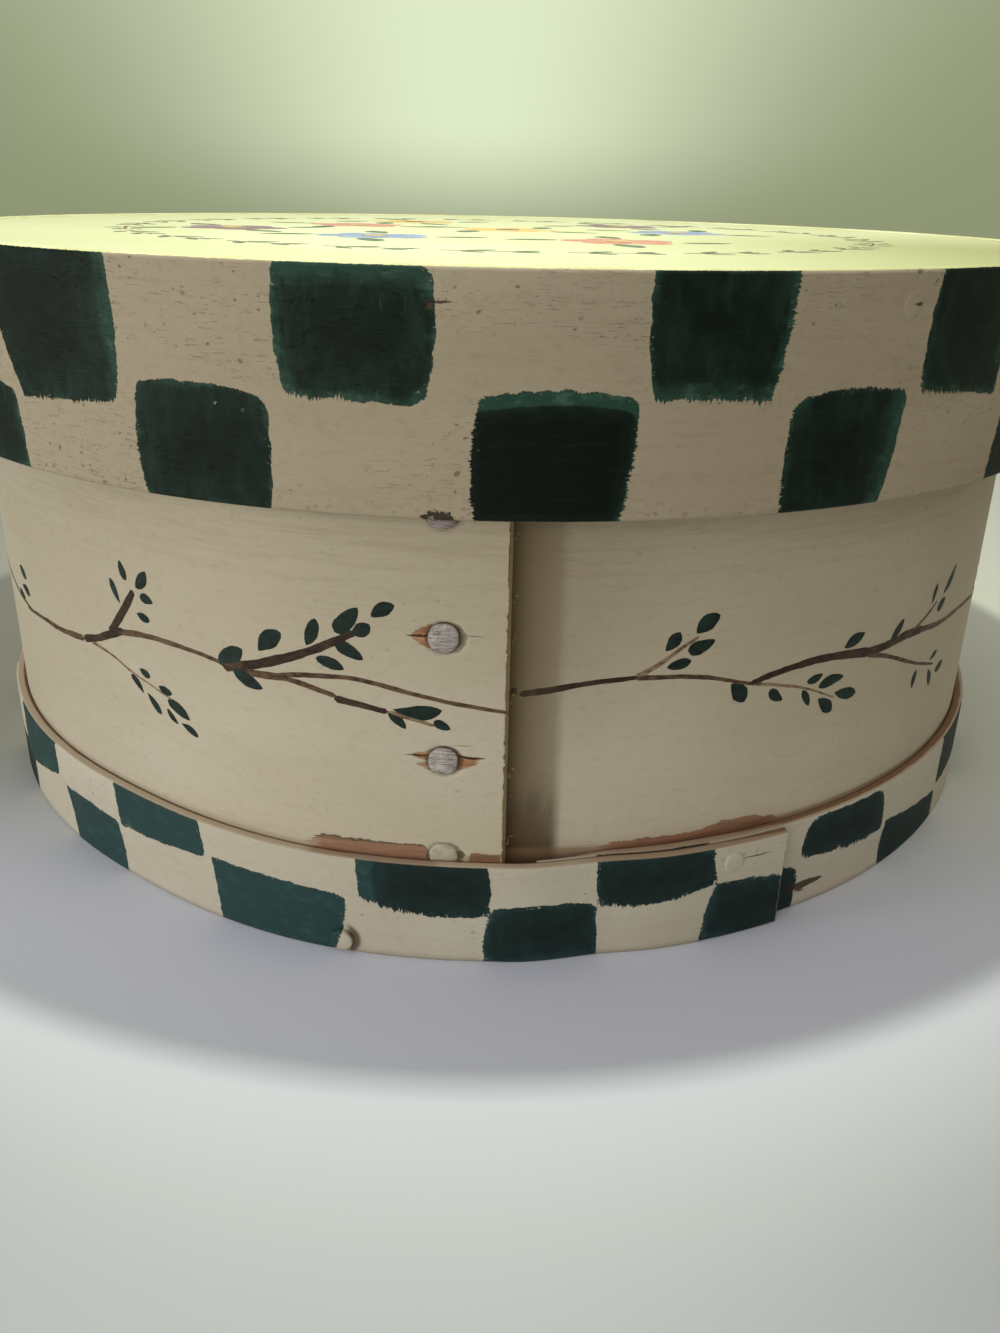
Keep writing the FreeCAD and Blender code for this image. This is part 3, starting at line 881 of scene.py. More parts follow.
HOOP_UPPER_SQUARES = [
    square(-59.0, -47.2, (7.2, 11.0, 14.8), 26, (1, 1, 1, 1), (0, 0, 0.2, 0), ONE_COAT),
    square((-35.7, -36.0, -36.2), (-24.4, -24.5, -25.0), (12.8, 13.5, 14.6), 24.6, (0.6, 1.0, 0.6, 2.4),
           (0, 0, 0.25, 0.3), (30, 30, 9.5, 0), 0.25),
    square((-9.5, -9.6, -9.8), (1.0, 1.4, 0.6), (14.2, 11.2, 12.0), 26, (0.8, 1.4, 0.6, 3.6),
           (0, 0.1, 0.85, 0), (4.0, 0.0, 0.4, 0.6), 0.5),
    square((10.4, 10.1, 10.2), (21.0, 20.6, 20.3), (13.0, 12.0, 14.8), 24.0, (1.0, 0.6, 0.6, 0.6),
           (0.1, 0.3, 0.95, 0), (0.8, 0.6, 0.6, 1.4), 0.5),
    square((31.1, 30.7, 31.6), (42.4, 42.3, 41.4), (13.0, 11.3, 10.8), 22.8, (1.2, 0.8, 2.4, 1.2),
           (0.1, 0.1, 0.8, 0.5), (0.8, 1.2, 0.8, 0.8), 0.5),
    square(55.6, 66.0, 9.8, 26, short=(1.0, 1.0, 0.5, 0.5))]
HOOP_LOWER_SQUARES = [
    square((-44.3, -44.6, -45.8), (-35.4, -35.5, -36.2), -3, (13.4, 13.8, 12.6), (1, 1, 0.8, 1.0),
           (0, 0, 0, 0.1), ONE_COAT),
    square((-22.6, -23.1, -23.5), (-12.2, -10.9, -10.8), -3, (15.7, 15.2, 14.0), (1, 1, 0.8, 1.2),
           (0, 0.4, 0, 0.15), ONE_COAT),
    square((1.1, 0.8, 1.5), (10.3, 10.3, 10.1), -3, (13.2, 14.2, 13.4), (1, 1, 1.8, 1.4),
           (0.4, 0.1, 0, 0.1), (1.8, 0.8, 5.4, 1.8), 0.35),
    square((19.7, 19.8, 20.7), (30.2, 30.4, 30.3), -3, (14.2, 14.0, 10.6), (1, 1, 1.2, 1.2),
           (0.5, 0.4, 0, 0.4), (1.8, 0.6, 4.5, 1.4), 0.4),
    square((43.6, 42.6, 43.0), 55.6, -3, (12.9, 10.8, 8.6), (1, 1, 0.6, 0.6), (0, 0, 0, 0.2),
           (1.2, 1.2, 4.0, 0.8), 0.4)]


def squares_round(shown, bottom, top):
    """The squares that show, and others, a little uneven, that fill the rest of the round evenly."""
    first, last = shown[0][0][0][1], shown[-1][0][1][1]
    missing = SQUARES_ROUND - len(shown)
    width = (first + 360 - last) / (2 * missing + 1)
    squares = list(shown)
    for number in range(missing):
        bend = 0.3 * ripple(number * 1.1 + np.array([0, 2.0, 4.0]), 3)
        start = last + width * (1 + 2 * number) + 0.5 * ripple(number * 2.1, 1)
        end = start + width + 0.4 * ripple(number * 1.3, 4)
        sag = 0.6 * ripple(number * 1.7 + np.array([0, 1.5, 3.0]), 6)
        round_by = tuple(1.6 + 1.1 * ripple(number * 2.9, corner) for corner in range(4))
        teeth = tuple(max(0.0, 0.35 + 0.5 * ripple(number * 2.3, 5 + side)) for side in range(4))
        short = tuple(1.2 + 1.6 * ripple(number * 3.3, side) for side in range(4))
        squares.append(square(start + bend, end - bend, bottom + sag, top - sag, round_by, teeth, short))
    return squares


def through(three, place):
    """A parabola through a side's three places: its ends are at 0 and 1, its middle at a half."""
    low, middle, top = three
    return low + (4 * middle - 3 * low - top) * place + 2 * (low + top - 2 * middle) * place ** 2


def coat_fields(rows, radius):
    """What the checked bands' paint reads, as functions of angle and height.

    The first coat's field is how far inside a square's outline a place is, in millimetres, with the corners
    rounded; the second coat's is the same from a smaller outline; the teeth are those of the nearest side.
    """
    squares = [square for row in rows for square in squares_round(*row)]

    def fields(angle, height):
        best = np.full(np.shape(angle), -50.0)
        second, upright, level = best.copy(), np.zeros(best.shape), np.zeros(best.shape)
        for (left, right, bottom, top), corners, teeth, short, crisp in squares:
            middle = (left[1] + right[1]) / 2
            turned = np.mod(angle - middle + 180, 360) - 180
            over = np.clip((turned + middle - left[1]) / (right[1] - left[1]), 0, 1)
            rise = np.clip((height - bottom[1]) / (top[1] - bottom[1]), 0, 1)
            mm = np.radians(1.0) * radius
            inside = np.stack([(turned - through(left - middle, rise)) * mm,
                               (through(right - middle, rise) - turned) * mm,
                               height - through(bottom, over), through(top, over) - height])
            round_by = ((1 - rise) * ((1 - over) * corners[0] + over * corners[1])
                        + rise * ((1 - over) * corners[2] + over * corners[3]))

            def outline(sides):
                beside = round_by - np.minimum(sides[0], sides[1])
                above = round_by - np.minimum(sides[2], sides[3])
                outside = np.hypot(np.maximum(beside, 0), np.maximum(above, 0))
                return round_by - outside - np.minimum(np.maximum(beside, above), 0)

            field = outline(inside)
            held_back = np.reshape(short, (4,) + (1,) * np.ndim(angle))
            inner = outline(inside - held_back) * crisp * 2.5 + SECOND_COAT_OVER
            near = smooth_step(1.3 - (inside - inside.min(0)) / 2.0)
            nearer = field > best
            second = np.where(nearer, inner, second)
            level = np.where(nearer, near[0] * teeth[0] + near[1] * teeth[1], level)
            upright = np.where(nearer, near[2] * teeth[2] + near[3] * teeth[3], upright)
            best = np.maximum(best, field)
        return {"first_coat": best, "second_coat": second, "level_teeth": level, "upright_teeth": upright}
    return fields


LID_COATS = coat_fields([(LID_UPPER_SQUARES, *LID_UPPER_REST), (LID_LOWER_SQUARES, *LID_LOWER_REST)],
                        LID_INNER_RADIUS + LID_RIM_THICKNESS)
HOOP_COATS = coat_fields([(HOOP_UPPER_SQUARES, *HOOP_UPPER_REST), (HOOP_LOWER_SQUARES, *HOOP_LOWER_REST)],
                         WALL_RADIUS + HOOP_THICKNESS)


def peg_dents(angle, height):
    """Depth of the torn hollow round each lap peg: deepest at the peg, wider on its right."""
    depth = np.zeros(np.shape(angle))
    for number, peg_height in enumerate(LAP_PEG_HEIGHTS):
        across = np.radians(np.mod(angle - LAP_PEG_ANGLE + 180, 360) - 180) * WALL_RADIUS
        rise = height - peg_height
        distance = np.hypot(across, rise)
        toward_right = np.clip(across / np.maximum(distance, 0.01), 0, 1)
        width = 0.5 + 1.5 * toward_right ** 1.5 + 0.2 * ripple(np.arctan2(rise, across) * 3, number)
        depth = np.maximum(depth, 0.6 * (1 - smooth_step((distance - LAP_PEG_RADIUS + 0.1) / width)))
    return depth


def make_bands():
    fine_columns = (LAP_PEG_ANGLE + 360, degrees_along(8.5, WALL_RADIUS), degrees_along(0.5, WALL_RADIUS))
    wall_end = (wall.end, 2.5, 0.12)
    columns = spaced(wall.tip, wall.end, degrees_along(2.2, WALL_RADIUS), (fine_columns, wall_end))
    closer = [(height, 5.5, 0.5) for height in LAP_PEG_HEIGHTS]
    heights = spaced(0.6, WALL_HEIGHT - 0.6, 2.6, closer)
    make_band("body_band", wall, 0, WALL_HEIGHT, columns, heights, 0.6, wall_paint,
              dents=peg_dents)
    columns = spaced(hoop.tip, hoop.end, degrees_along(1.0, WALL_RADIUS), [(hoop.end, 1.5, 0.12)])
    heights = spaced(0.6, HOOP_HEIGHT - 0.6, 0.9)
    make_band("bottom_hoop", hoop, 0, HOOP_HEIGHT, columns, heights, 0.6, hoop_paint,
              fields=HOOP_COATS)
    columns = spaced(lid_rim.tip, lid_rim.end, degrees_along(1.0, LID_INNER_RADIUS),
                     [(lid_rim.end, 1.5, 0.12)])
    heights = spaced(LID_LOW + 0.7, LID_TOP - 0.7, 1.0)
    make_band("lid_rim_band", lid_rim, LID_LOW, LID_TOP, columns, heights, 0.7, rim_paint,
              fields=LID_COATS, body="lid")


def make_board(name, radius, bottom, top, material, body):
    """A round board: a profile of radius and height turned about the axis, its rims rounded."""
    turn = np.radians([0, 30, 60, 90])
    edge = 0.8
    rings = np.concatenate([[0.5], np.linspace(4, radius - edge, 24)])
    out, rise = edge * np.sin(turn), edge * np.cos(turn)
    profile_radius = np.concatenate([rings, radius - edge + out, radius - edge + out[::-1], rings[::-1]])
    profile_height = np.concatenate([top + 0 * rings, top - edge + rise, bottom + edge - rise[::-1],
                                     bottom + 0 * rings])
    angle = np.linspace(0, 360, 240, endpoint=False)
    points = polar(profile_radius[:, None], angle[None], profile_height[:, None]).reshape(-1, 3)
    make_piece(name, points, tube_faces(len(profile_radius), len(angle)), body, material, (name,))


def make_peg(name, radius, angle, height, inner_radius, face_radius, material, body, seed, fields=None):
    """A peg that points outward: rings about its axis from its face's middle over its rim down its side.

    The face is a low dome with ridges along its grain. The outline is a circle drawn a little towards a
    square, the sum of the 2.3rd powers of its two parts being one, and swells and shrinks by a ripple.
    """
    share = np.array([0.02, 0.2, 0.4, 0.6, 0.75, 0.87, 0.95, 1.0, 1.0, 1.0, 0.98, 0.02])
    drop = np.array([0, 0.01, 0.03, 0.06, 0.1, 0.17, 0.3, 0.55, 1.2, 3.0, 1e3, 1e3])
    drop = np.minimum(drop, face_radius - inner_radius)
    turn = np.linspace(0, 2 * np.pi, 40, endpoint=False)
    squared = (np.abs(np.cos(turn)) ** 2.3 + np.abs(np.sin(turn)) ** 2.3) ** (-1 / 2.3)
    outline = radius * 0.97 * squared * (1 + 0.035 * ripple(2 * np.cos(turn) + np.sin(turn) * 3, seed))
    across = share[:, None] * outline * np.cos(turn)
    rise = share[:, None] * outline * np.sin(turn)
    ridges = 0.05 * ripple(rise * 4.5 + across * 0.4, seed) * (share < 0.9)[:, None]
    out = face_radius - 0.05 - drop[:, None] + ridges
    turned = math.radians(angle)
    x = out * math.sin(turned) + across * math.cos(turned)
    y = -out * math.cos(turned) + across * math.sin(turned)
    points = np.stack([x, y, height + rise], -1).reshape(-1, 3)
    rim = np.repeat(np.clip(drop / 0.4 - 0.25, 0, 1), len(turn))
    attributes = {"outer_face": np.ones(len(points)), "top_face": np.zeros(len(points)), "rim": rim}
    if fields is not None:
        attributes.update(fields(np.degrees(np.arctan2(points[:, 0], -points[:, 1])), points[:, 2]))
    faces = tube_faces(len(share), len(turn))
    make_piece(name, points, faces, body, material, (name,), attributes)


LAP_PEG_MATERIALS = (peg_cream, peg_wood, peg_wood, dark_peg_wood, peg_wood)


def make_pegs():
    """All the pegs: the lap's five, the hoop's one, ten in each board and two in the lid rim's lap."""
    inner = WALL_INNER_RADIUS - 0.4
    for number, (height, material) in enumerate(zip(LAP_PEG_HEIGHTS, LAP_PEG_MATERIALS), 1):
        face = float(wall.outside(LAP_PEG_ANGLE)) + (LAP_PEG_PROUD if number > 1 else 0)
        make_peg(f"body_lap_peg_{number}", LAP_PEG_RADIUS, LAP_PEG_ANGLE, height, inner, face, material,
                 "box", number)
    angle = HOOP_LAP_END - float(degrees_along(HOOP_PEG_FROM_END, hoop.outside(np.array(HOOP_LAP_END))))
    face = float(hoop.outside(angle)) + LAP_PEG_PROUD
    make_peg("hoop_lap_peg_1", BOARD_PEG_RADIUS, angle, HOOP_PEG_HEIGHT, inner, face, hoop_paint,
             "box", 7, HOOP_COATS)
    count = len(BOTTOM_PEG_HEIGHT_SHARES)
    for number in range(count):
        angle = BOTTOM_PEG_FIRST_ANGLE + 360 * number / count
        face = float(hoop.outside(angle)) + BOARD_PEG_PROUD * BOTTOM_PEG_PROUD_SHARES[number]
        height = BOTTOM_THICKNESS * BOTTOM_PEG_HEIGHT_SHARES[number]
        make_peg(f"bottom_peg_{number + 1}", BOARD_PEG_RADIUS, angle, height,
                 WALL_INNER_RADIUS - BOARD_PEG_DEPTH, face, hoop_paint, "box", 11 + number, HOOP_COATS)
        angle = LID_PEG_FIRST_ANGLE + 360 * number / count
        face = float(lid_rim.outside(angle)) + BOARD_PEG_PROUD * LID_PEG_PROUD_SHARE
        make_peg(f"lid_peg_{number + 1}", BOARD_PEG_RADIUS, angle, LID_PEG_HEIGHT,
                 LID_INNER_RADIUS - BOARD_PEG_DEPTH, face, rim_paint, "lid", 31 + number, LID_COATS)
    angle = LID_LAP_END - float(degrees_along(PEG_FROM_END, lid_rim.outside(LID_LAP_END)))
    for number, share in enumerate((0.3, 0.72), 1):
        height = LID_LOW + (LID_UNDERSIDE - LID_LOW) * share
        make_peg(f"lid_rim_lap_peg_{number}", BOARD_PEG_RADIUS, angle, height, LID_INNER_RADIUS,
                 float(lid_rim.outside(angle)) + LAP_PEG_PROUD, peg_wood, "lid", 51 + number)


# The twig border, drawn on the wall: (along, up) in millimetres, and the stroke's width at its two ends
TWIGS = [
    ("thin", [(-130, 54.0), (-117, 54.8), (-107, 55.0), (-97, 55.9)], 0.8, 1.6),
    ("dark", [(-97, 55.9), (-91, 57.6), (-86, 59.8), (-81, 61.9)], 1.8, 1.8),
    ("dark", [(-86, 60.0), (-82, 64.5), (-78, 69.3), (-76, 72.0)], 2.2, 1.7),
    ("thin", [(-83, 61.2), (-75, 62.5), (-67, 62.8), (-59, 62.5), (-50, 61.3)], 1.5, 0.8),
    ("pale", [(-94, 56.0), (-87, 55.0), (-80, 52.8), (-75, 51.6), (-67, 49.5)], 0.8, 0.35),
    ("dark", [(-52, 60.9), (-45, 62.6), (-38, 65.2), (-32, 67.7), (-28, 69.8), (-23, 72.6)], 2.2, 1.5),
    ("thin", [(-47, 61.0), (-40, 61.3), (-35, 62.2), (-24, 62.9), (-13, 60.8), (-3, 58.8), (6.2, 57.3)],
     1.2, 0.8),
    ("thin", [(-46, 60.8), (-40, 61.0), (-36, 60.8), (-27, 58.7)], 1.6, 1.0),
    ("dark", [(-27.6, 58.3), (-22, 57.3), (-17, 56.3)], 1.5, 1.2),
    ("pale", [(-17, 56.4), (-12, 55.1), (-8, 54.0)], 1.0, 0.6),
    ("dark", [(8.2, 59.7), (14, 60.6), (20, 61.6), (26, 62.2), (32, 62.6)], 1.5, 0.9),
    ("pale", [(31, 62.5), (36, 65.1), (40, 67.8), (44, 70.3)], 1.1, 0.7),
    ("thin", [(31, 62.5), (41, 61.9), (48, 60.9), (55, 58.9), (60, 57.8)], 1.1, 0.7),
    ("pale", [(59, 58.0), (65, 56.7), (70, 55.4), (75, 53.4), (81, 50.6)], 0.8, 0.4),
    ("dark", [(57, 58.3), (62, 59.6), (68, 60.4), (75, 60.9), (82, 60.4), (91, 59.2)], 1.2, 2.2),
    ("dark", [(89, 59.3), (98, 59.4), (105, 60.0), (112, 59.5)], 2.0, 2.2),
    ("thin", [(111, 59.6), (117, 58.9), (125, 58.4), (135, 58.4), (147, 57.4), (158, 55.4), (168, 54.3)],
     1.6, 0.8),
    ("thin", [(108, 60.4), (113, 62.4), (118, 65.0)], 1.0, 0.6),
    ("thin", [(90, 58.7), (97, 56.8), (106, 53.3), (114, 50.3), (123, 47.6)], 1.2, 0.6),
]
# Leaves: foot and tip (along, up), and the share of the length that the leaf is wide
LEAVES = [
    ((-132, 64), (-127, 62), 0.5), ((-132, 59), (-126, 58), 0.4), ((-136, 57), (-131, 56), 0.4),
    ((-78, 73.9), (-79.6, 78), 0.5), ((-81, 68.1), (-83.6, 73.3), 0.34), ((-75, 73), (-71.4, 77.2), 0.52),
    ((-74, 71.1), (-70, 70.6), 0.55), ((-75.6, 67.2), (-71.6, 66.4), 0.5),
    ((-76.8, 54.2), (-73.4, 53.2), 0.55),
    ((-80, 52), (-76.3, 48.6), 0.36), ((-71, 51.7), (-67, 51.0), 0.5), ((-75, 49), (-71, 45), 0.36),
    ((-68.6, 49.1), (-62.4, 46), 0.4), ((-69, 47), (-66, 44.2), 0.36), ((-65, 44.6), (-60.4, 42.6), 0.36),
    ((-53, 61.3), (-47, 65.6), 0.55), ((-49.4, 61.2), (-42.8, 57.8), 0.42), ((-43.2, 66), (-38, 70.6), 0.55),
    ((-32.8, 68.8), (-30.8, 74.6), 0.45), ((-27, 72.2), (-22.4, 77.6), 0.5),
    ((-19.8, 76), (-15.4, 78.6), 0.55),
    ((-23.8, 72.2), (-20.2, 74.4), 0.7), ((-27, 70), (-21.6, 67), 0.45), ((-31, 66.4), (-25.4, 64.6), 0.42),
    ((-16, 57), (-6.6, 57.4), 0.34), ((-17, 56.2), (-13.6, 53), 0.42), ((-8.2, 55), (-5, 53.4), 0.55),
    ((37, 67.8), (39.8, 71.6), 0.6), ((43.4, 71), (48.2, 74.4), 0.6), ((41.8, 67.4), (47.6, 69.2), 0.5),
    ((37.6, 64.2), (42.8, 65.2), 0.45), ((52.4, 59), (56, 54.4), 0.62), ((62.2, 56.2), (65.8, 53.2), 0.5),
    ((71, 54.4), (73.4, 50.4), 0.4), ((76, 51.4), (80.6, 47.4), 0.5), ((72, 56.2), (76.4, 57.2), 0.45),
    ((75.6, 54.2), (83, 55.2), 0.36), ((80.8, 51.8), (88, 50.2), 0.4), ((81.8, 62.2), (88, 64.4), 0.36),
    ((82.4, 62.4), (87, 64.6), 0.36), ((98, 60.2), (102.4, 64.4), 0.4), ((115, 65), (116.4, 69.6), 0.4),
    ((119, 62.2), (123, 64.4), 0.6), ((121, 66), (126.4, 72), 0.3), ((120, 49.4), (124, 50.6), 0.4),
    ((130, 46), (125, 45), 0.5), ((113, 49), (112.2, 44.6), 0.5), ((120, 47), (122.6, 42), 0.4),
]
BORDER_TURNS = (0, 120, 240)


def smooth_path(points, count):
    """Points on a Catmull-Rom curve through the given ones: each span is a cubic of its four neighbours."""
    given = np.asarray(points, float)
    padded = np.vstack([2 * given[0] - given[1], given, 2 * given[-1] - given[-2]])
    place = np.linspace(0, len(given) - 1 - 1e-9, count)
    span = place.astype(int)
    t = (place - span)[:, None]
    a, b, c, d = (padded[span + step] for step in range(4))
    bend, twist = 2 * a - 5 * b + 4 * c - d, 3 * b - a - 3 * c + d
    return 0.5 * (2 * b + (c - a) * t + bend * t ** 2 + twist * t ** 3)


def brush_stroke(path, half_widths):
    """A stroke of paint as a grid: across the path a low dome above, and a flat underside a little sunk.

    Returns flat places (along, up) and the height over the surface, for each point of each cross-section.
    """
    along = np.gradient(path, axis=0)
    along /= np.linalg.norm(along, axis=1)[:, None] + 1e-9
    across = np.stack([-along[:, 1], along[:, 0]], -1)
    share = np.array([-1, -0.8, -0.4, 0, 0.4, 0.8, 1, 0.4, -0.4])
    lift = np.array([0.3, 0.75, 1.0, 1.0, 1.0, 0.75, 0.3, -1.0, -1.0]) * PAINT_THICKNESS
    flat = path[:, None] + across[:, None] * (share[None] * half_widths[:, None])[..., None]
    return flat, np.broadcast_to(lift, flat.shape[:2])


def twig_stroke(points, start_width, end_width, seed):
    """A twig: a smooth path whose width goes evenly from start to end, with a ripple; its ends are blunt."""
    length = np.linalg.norm(np.diff(np.asarray(points, float), axis=0), axis=1).sum()
    count = max(8, int(length * 1.6))
    path = smooth_path(points, count)
    place = np.linspace(0, 1, count)
    width = start_width + (end_width - start_width) * place
    width = width * (1 + 0.12 * ripple(place * length * 0.5, seed))
    width = width * np.sqrt(np.clip(np.minimum(place, 1 - place) * length / 0.6, 0.05, 1))
    path = path + 0.07 * np.stack([0 * place, ripple(place * length * 0.4, seed + 2)], -1)
    return brush_stroke(path, width / 2)


def leaf_stroke(foot, tip, breadth, seed):
    """A leaf: half-width along it is a sine lobe pushed toward the tip, its middle line slightly bowed."""
    foot, tip = np.asarray(foot, float), np.asarray(tip, float)
    length = np.linalg.norm(tip - foot)
    place = np.linspace(0.0, 1, 15)
    side = np.array([-(tip - foot)[1], (tip - foot)[0]]) / length
    bow = 0.07 * length * math.sin(seed * 2.3) * np.sin(np.pi * place)
    path = foot + (tip - foot) * place[:, None] + side * bow[:, None]
    lobe = np.sin(np.pi * place ** (1.0 + 0.3 * math.sin(seed * 1.9))) ** 0.62
    lobe = lobe * (1 + 0.07 * ripple(place * 9, seed))
    return brush_stroke(path, np.maximum(breadth * length / 2 * lobe, 0.03))


def blob_stroke(centre, radius, seed):
    """A round dab of paint: a stroke whose half-width is that of a slightly uneven circle."""
    place = np.linspace(-1, 1, 17)
    path = np.asarray(centre, float) + np.stack([place * radius, 0 * place], -1)
    half = np.sqrt(np.clip(1 - place ** 2, 0.001, 1)) * radius * (1 + 0.06 * ripple(place * 3, seed))
    return brush_stroke(path, half)


def on_wall(flat, lift, turn):
    """Places along and up on the wall, as points just over its outside."""
    angle = np.degrees(flat[..., 0] / WALL_RADIUS) + turn
    return polar(wall.outside(angle) + lift, angle, flat[..., 1])


def on_lid(flat, lift, turn):
    """Places across and back on the lid's top, turned about its middle, as points just over it."""
    turned = math.radians(turn)
    x = flat[..., 0] * math.cos(turned) - flat[..., 1] * math.sin(turned)
    y = flat[..., 0] * math.sin(turned) + flat[..., 1] * math.cos(turned)
    return np.stack([x, y, LID_SURFACE + lift], -1)


def make_strokes(name, strokes, place, body, material):
    """Many strokes of one paint as one mesh; each is a closed grid with its two ends filled."""
    points, faces, count = [], [], 0
    for flat, lift, turn in strokes:
        placed = place(flat, lift, turn)
        grid = tube_faces(*placed.shape[:2])
        flat_points = placed.reshape(-1, 3)
        if signed_volume(flat_points, grid) < 0:
            grid = [face[::-1] for face in grid]
        faces += [[index + count for index in face] for face in grid]
        points.append(flat_points)
        count += len(flat_points)
    make_piece(name, np.concatenate(points), faces, body, material, sharp_angle=60)


def make_border():
    """Twigs and leaves of the wall's border, the front's stretch three times round the box."""
    paints = {"dark": dark_twig_paint, "thin": twig_paint, "pale": pale_twig_paint}
    for tone in ("thin", "pale", "dark"):
        strokes = [(*twig_stroke(points, start, end, number), turn) for turn in BORDER_TURNS
                   for number, (kind, points, start, end) in enumerate(TWIGS) if kind == tone]
        make_strokes(f"border_twigs_{tone}", strokes, on_wall, "box", paints[tone])
    strokes = [(*leaf_stroke(foot, tip, breadth, number + turn), turn) for turn in BORDER_TURNS
               for number, (foot, tip, breadth) in enumerate(LEAVES)]
    make_strokes("border_leaves", strokes, on_wall, "box", leaf_paint)


def make_seam_fibres():
    """Fine torn fibres that curl out of the seam's end: short thin strokes lying on the layer beneath."""
    strokes = []
    for number in range(10):
        up = HOOP_HEIGHT + 3 + (LID_LOW - HOOP_HEIGHT - 6) * (number + 1.4 * ripple(number * 2.7, 2)) / 10
        length = 0.45 + 0.9 * abs(ripple(number * 1.9, 5))
        curl = 0.8 * ripple(number * 3.1, 8)
        path = [(SEAM_ALONG - 0.3, up), (SEAM_ALONG + length * 0.6, up - 0.3 * curl),
                (SEAM_ALONG + length, up + curl)]
        strokes.append((*twig_stroke(path, 0.24, 0.12, number), 0))
    make_strokes("seam_fibres", strokes, on_wall, "box", fibre_paint)


def make_lid_design():
    """A plain folk pattern on the lid: a twig ring with leaf pairs, and five-petalled blossoms inside."""
    ring, sprigs = 101.0, 25
    turns = [360 * number / sprigs for number in range(sprigs)]
    arc = np.radians(np.linspace(-5.6, 5.6, 7))
    twig = np.stack([ring * np.sin(arc), -ring * np.cos(arc)], -1)
    make_strokes("lid_twigs", [(*twig_stroke(twig, 1.3, 0.6, turn), turn) for turn in turns],
                 on_lid, "lid", pale_twig_paint)
    leaves = []
    for number, turn in enumerate(turns):
        for foot, tip in (((-6, -ring - 1), (-1, -ring - 5)), ((-5, -ring + 1), (1, -ring + 5)),
                          ((4, -ring - 1), (10, -ring - 3)), ((5, -ring + 1), (10, -ring + 4))):
            leaves.append((*leaf_stroke(foot, tip, 0.42, number), turn))
    blossoms = {"red": [(-44, 26), (30, -46)], "ochre": [(2, 14), (-30, 66)],
                "blue": [(52, 18), (-30, -44)], "plum": [(-72, -14), (38, 64)]}
    for tone, centres in blossoms.items():
        dabs, middles = [], []
        for centre in centres:
            for petal in range(5):
                turned = math.radians(72 * petal + centre[0])
                spot = (centre[0] + 8.5 * math.cos(turned), centre[1] + 8.5 * math.sin(turned))
                dabs.append((*blob_stroke(spot, 6.2, petal), 0))
            for side in range(4):
                turned = math.radians(90 * side + 40 + centre[1])
                foot = (centre[0] + 15 * math.cos(turned), centre[1] + 15 * math.sin(turned))
                tip = (centre[0] + 28 * math.cos(turned + 0.2), centre[1] + 28 * math.sin(turned + 0.2))
                leaves.append((*leaf_stroke(foot, tip, 0.45, side), 0))
            middles.append((*blob_stroke(centre, 3.4, 3), 0))
        make_strokes(f"lid_blossoms_{tone}", dabs, on_lid, "lid", blossom_paints[tone])
        centre_paint = blossom_paints["plum" if tone == "ochre" else "ochre"]
        make_strokes(f"lid_blossom_middles_{tone}", [(flat, lift + 2 * PAINT_THICKNESS, turn)
                     for flat, lift, turn in middles], on_lid, "lid", centre_paint)
    make_strokes("lid_leaves", leaves, on_lid, "lid", lid_leaf_paint)


# Camera: place in millimetres, pitch down, turn and roll in degrees, focal length in pixels of the picture
PICTURE_HEIGHT = 1333
CAMERA_PLACE = (6.3, -338.1, 151.35)
CAMERA_PITCH = 23.39
CAMERA_TURN = -0.60
CAMERA_ROLL = 1.30
FOCAL_PIXELS = 1116.7
SENSOR = 36.0
FLOOR_RADIUS = 1200 * MM


def make_camera():
    """Looks along the front axis, turned and pitched down, then rolled about the way it looks."""
    turn, pitch, roll = (math.radians(value) for value in (CAMERA_TURN, CAMERA_PITCH, CAMERA_ROLL))
    ahead = Vector((math.sin(turn) * math.cos(pitch), math.cos(turn) * math.cos(pitch), -math.sin(pitch)))
    right = Vector((math.cos(turn), -math.sin(turn), 0))
    up = right.cross(ahead)
    rolled_right = right * math.cos(roll) + up * math.sin(roll)
    rolled_up = up * math.cos(roll) - right * math.sin(roll)
    lens = bpy.data.cameras.new("camera")
    lens.sensor_width = SENSOR
    lens.lens = FOCAL_PIXELS / PICTURE_HEIGHT * SENSOR
    lens.clip_start = 0.01
    camera = bpy.data.objects.new("camera", lens)
    bpy.context.scene.collection.objects.link(camera)
    camera.matrix_world = Matrix.Translation(Vector(CAMERA_PLACE) * MM) @ Matrix(
        (rolled_right, rolled_up, -ahead)).transposed().to_4x4()
    bpy.context.scene.camera = camera


# Colours of the floor, of the world's light by direction, and of the background that the camera sees
FLOOR_SHADOW_TINT = colour(210, 213, 223)
FLOOR_FAR = colour(202, 208, 206)
FLOOR_PAINTED_SHADE = colour(40, 42, 40)
FLOOR_BACK_LEFT = colour(164, 165, 147)
FLOOR_BACK_RIGHT = colour(220, 224, 204)
LIGHT_LEFT = colour(238, 240, 243)
LIGHT_RIGHT = colour(250, 228, 194)
LIGHT_OVERHEAD = colour(224, 234, 255)
BACKGROUND = colour(142, 149, 117)
BACKGROUND_GLOW = colour(224, 235, 200)
# Lamps: place and aim in metres, width in metres, watts, tint
LAMPS = {
    "lamp_above": ((0.014, -0.067, 0.5), (0.014, -0.067, 0), 0.022, 1.45, (1.0, 1.0, 0.9)),
    "lamp_left": ((-0.9, -0.44, 0.2), (0, 0, 0.08), 0.2, 2.1, (1.0, 0.98, 0.96)),
    "lamp_front": ((-0.62, -1.1, 0.3), (0, 0, 0.06), 0.7, 3.7, (1.0, 0.97, 0.91)),
}


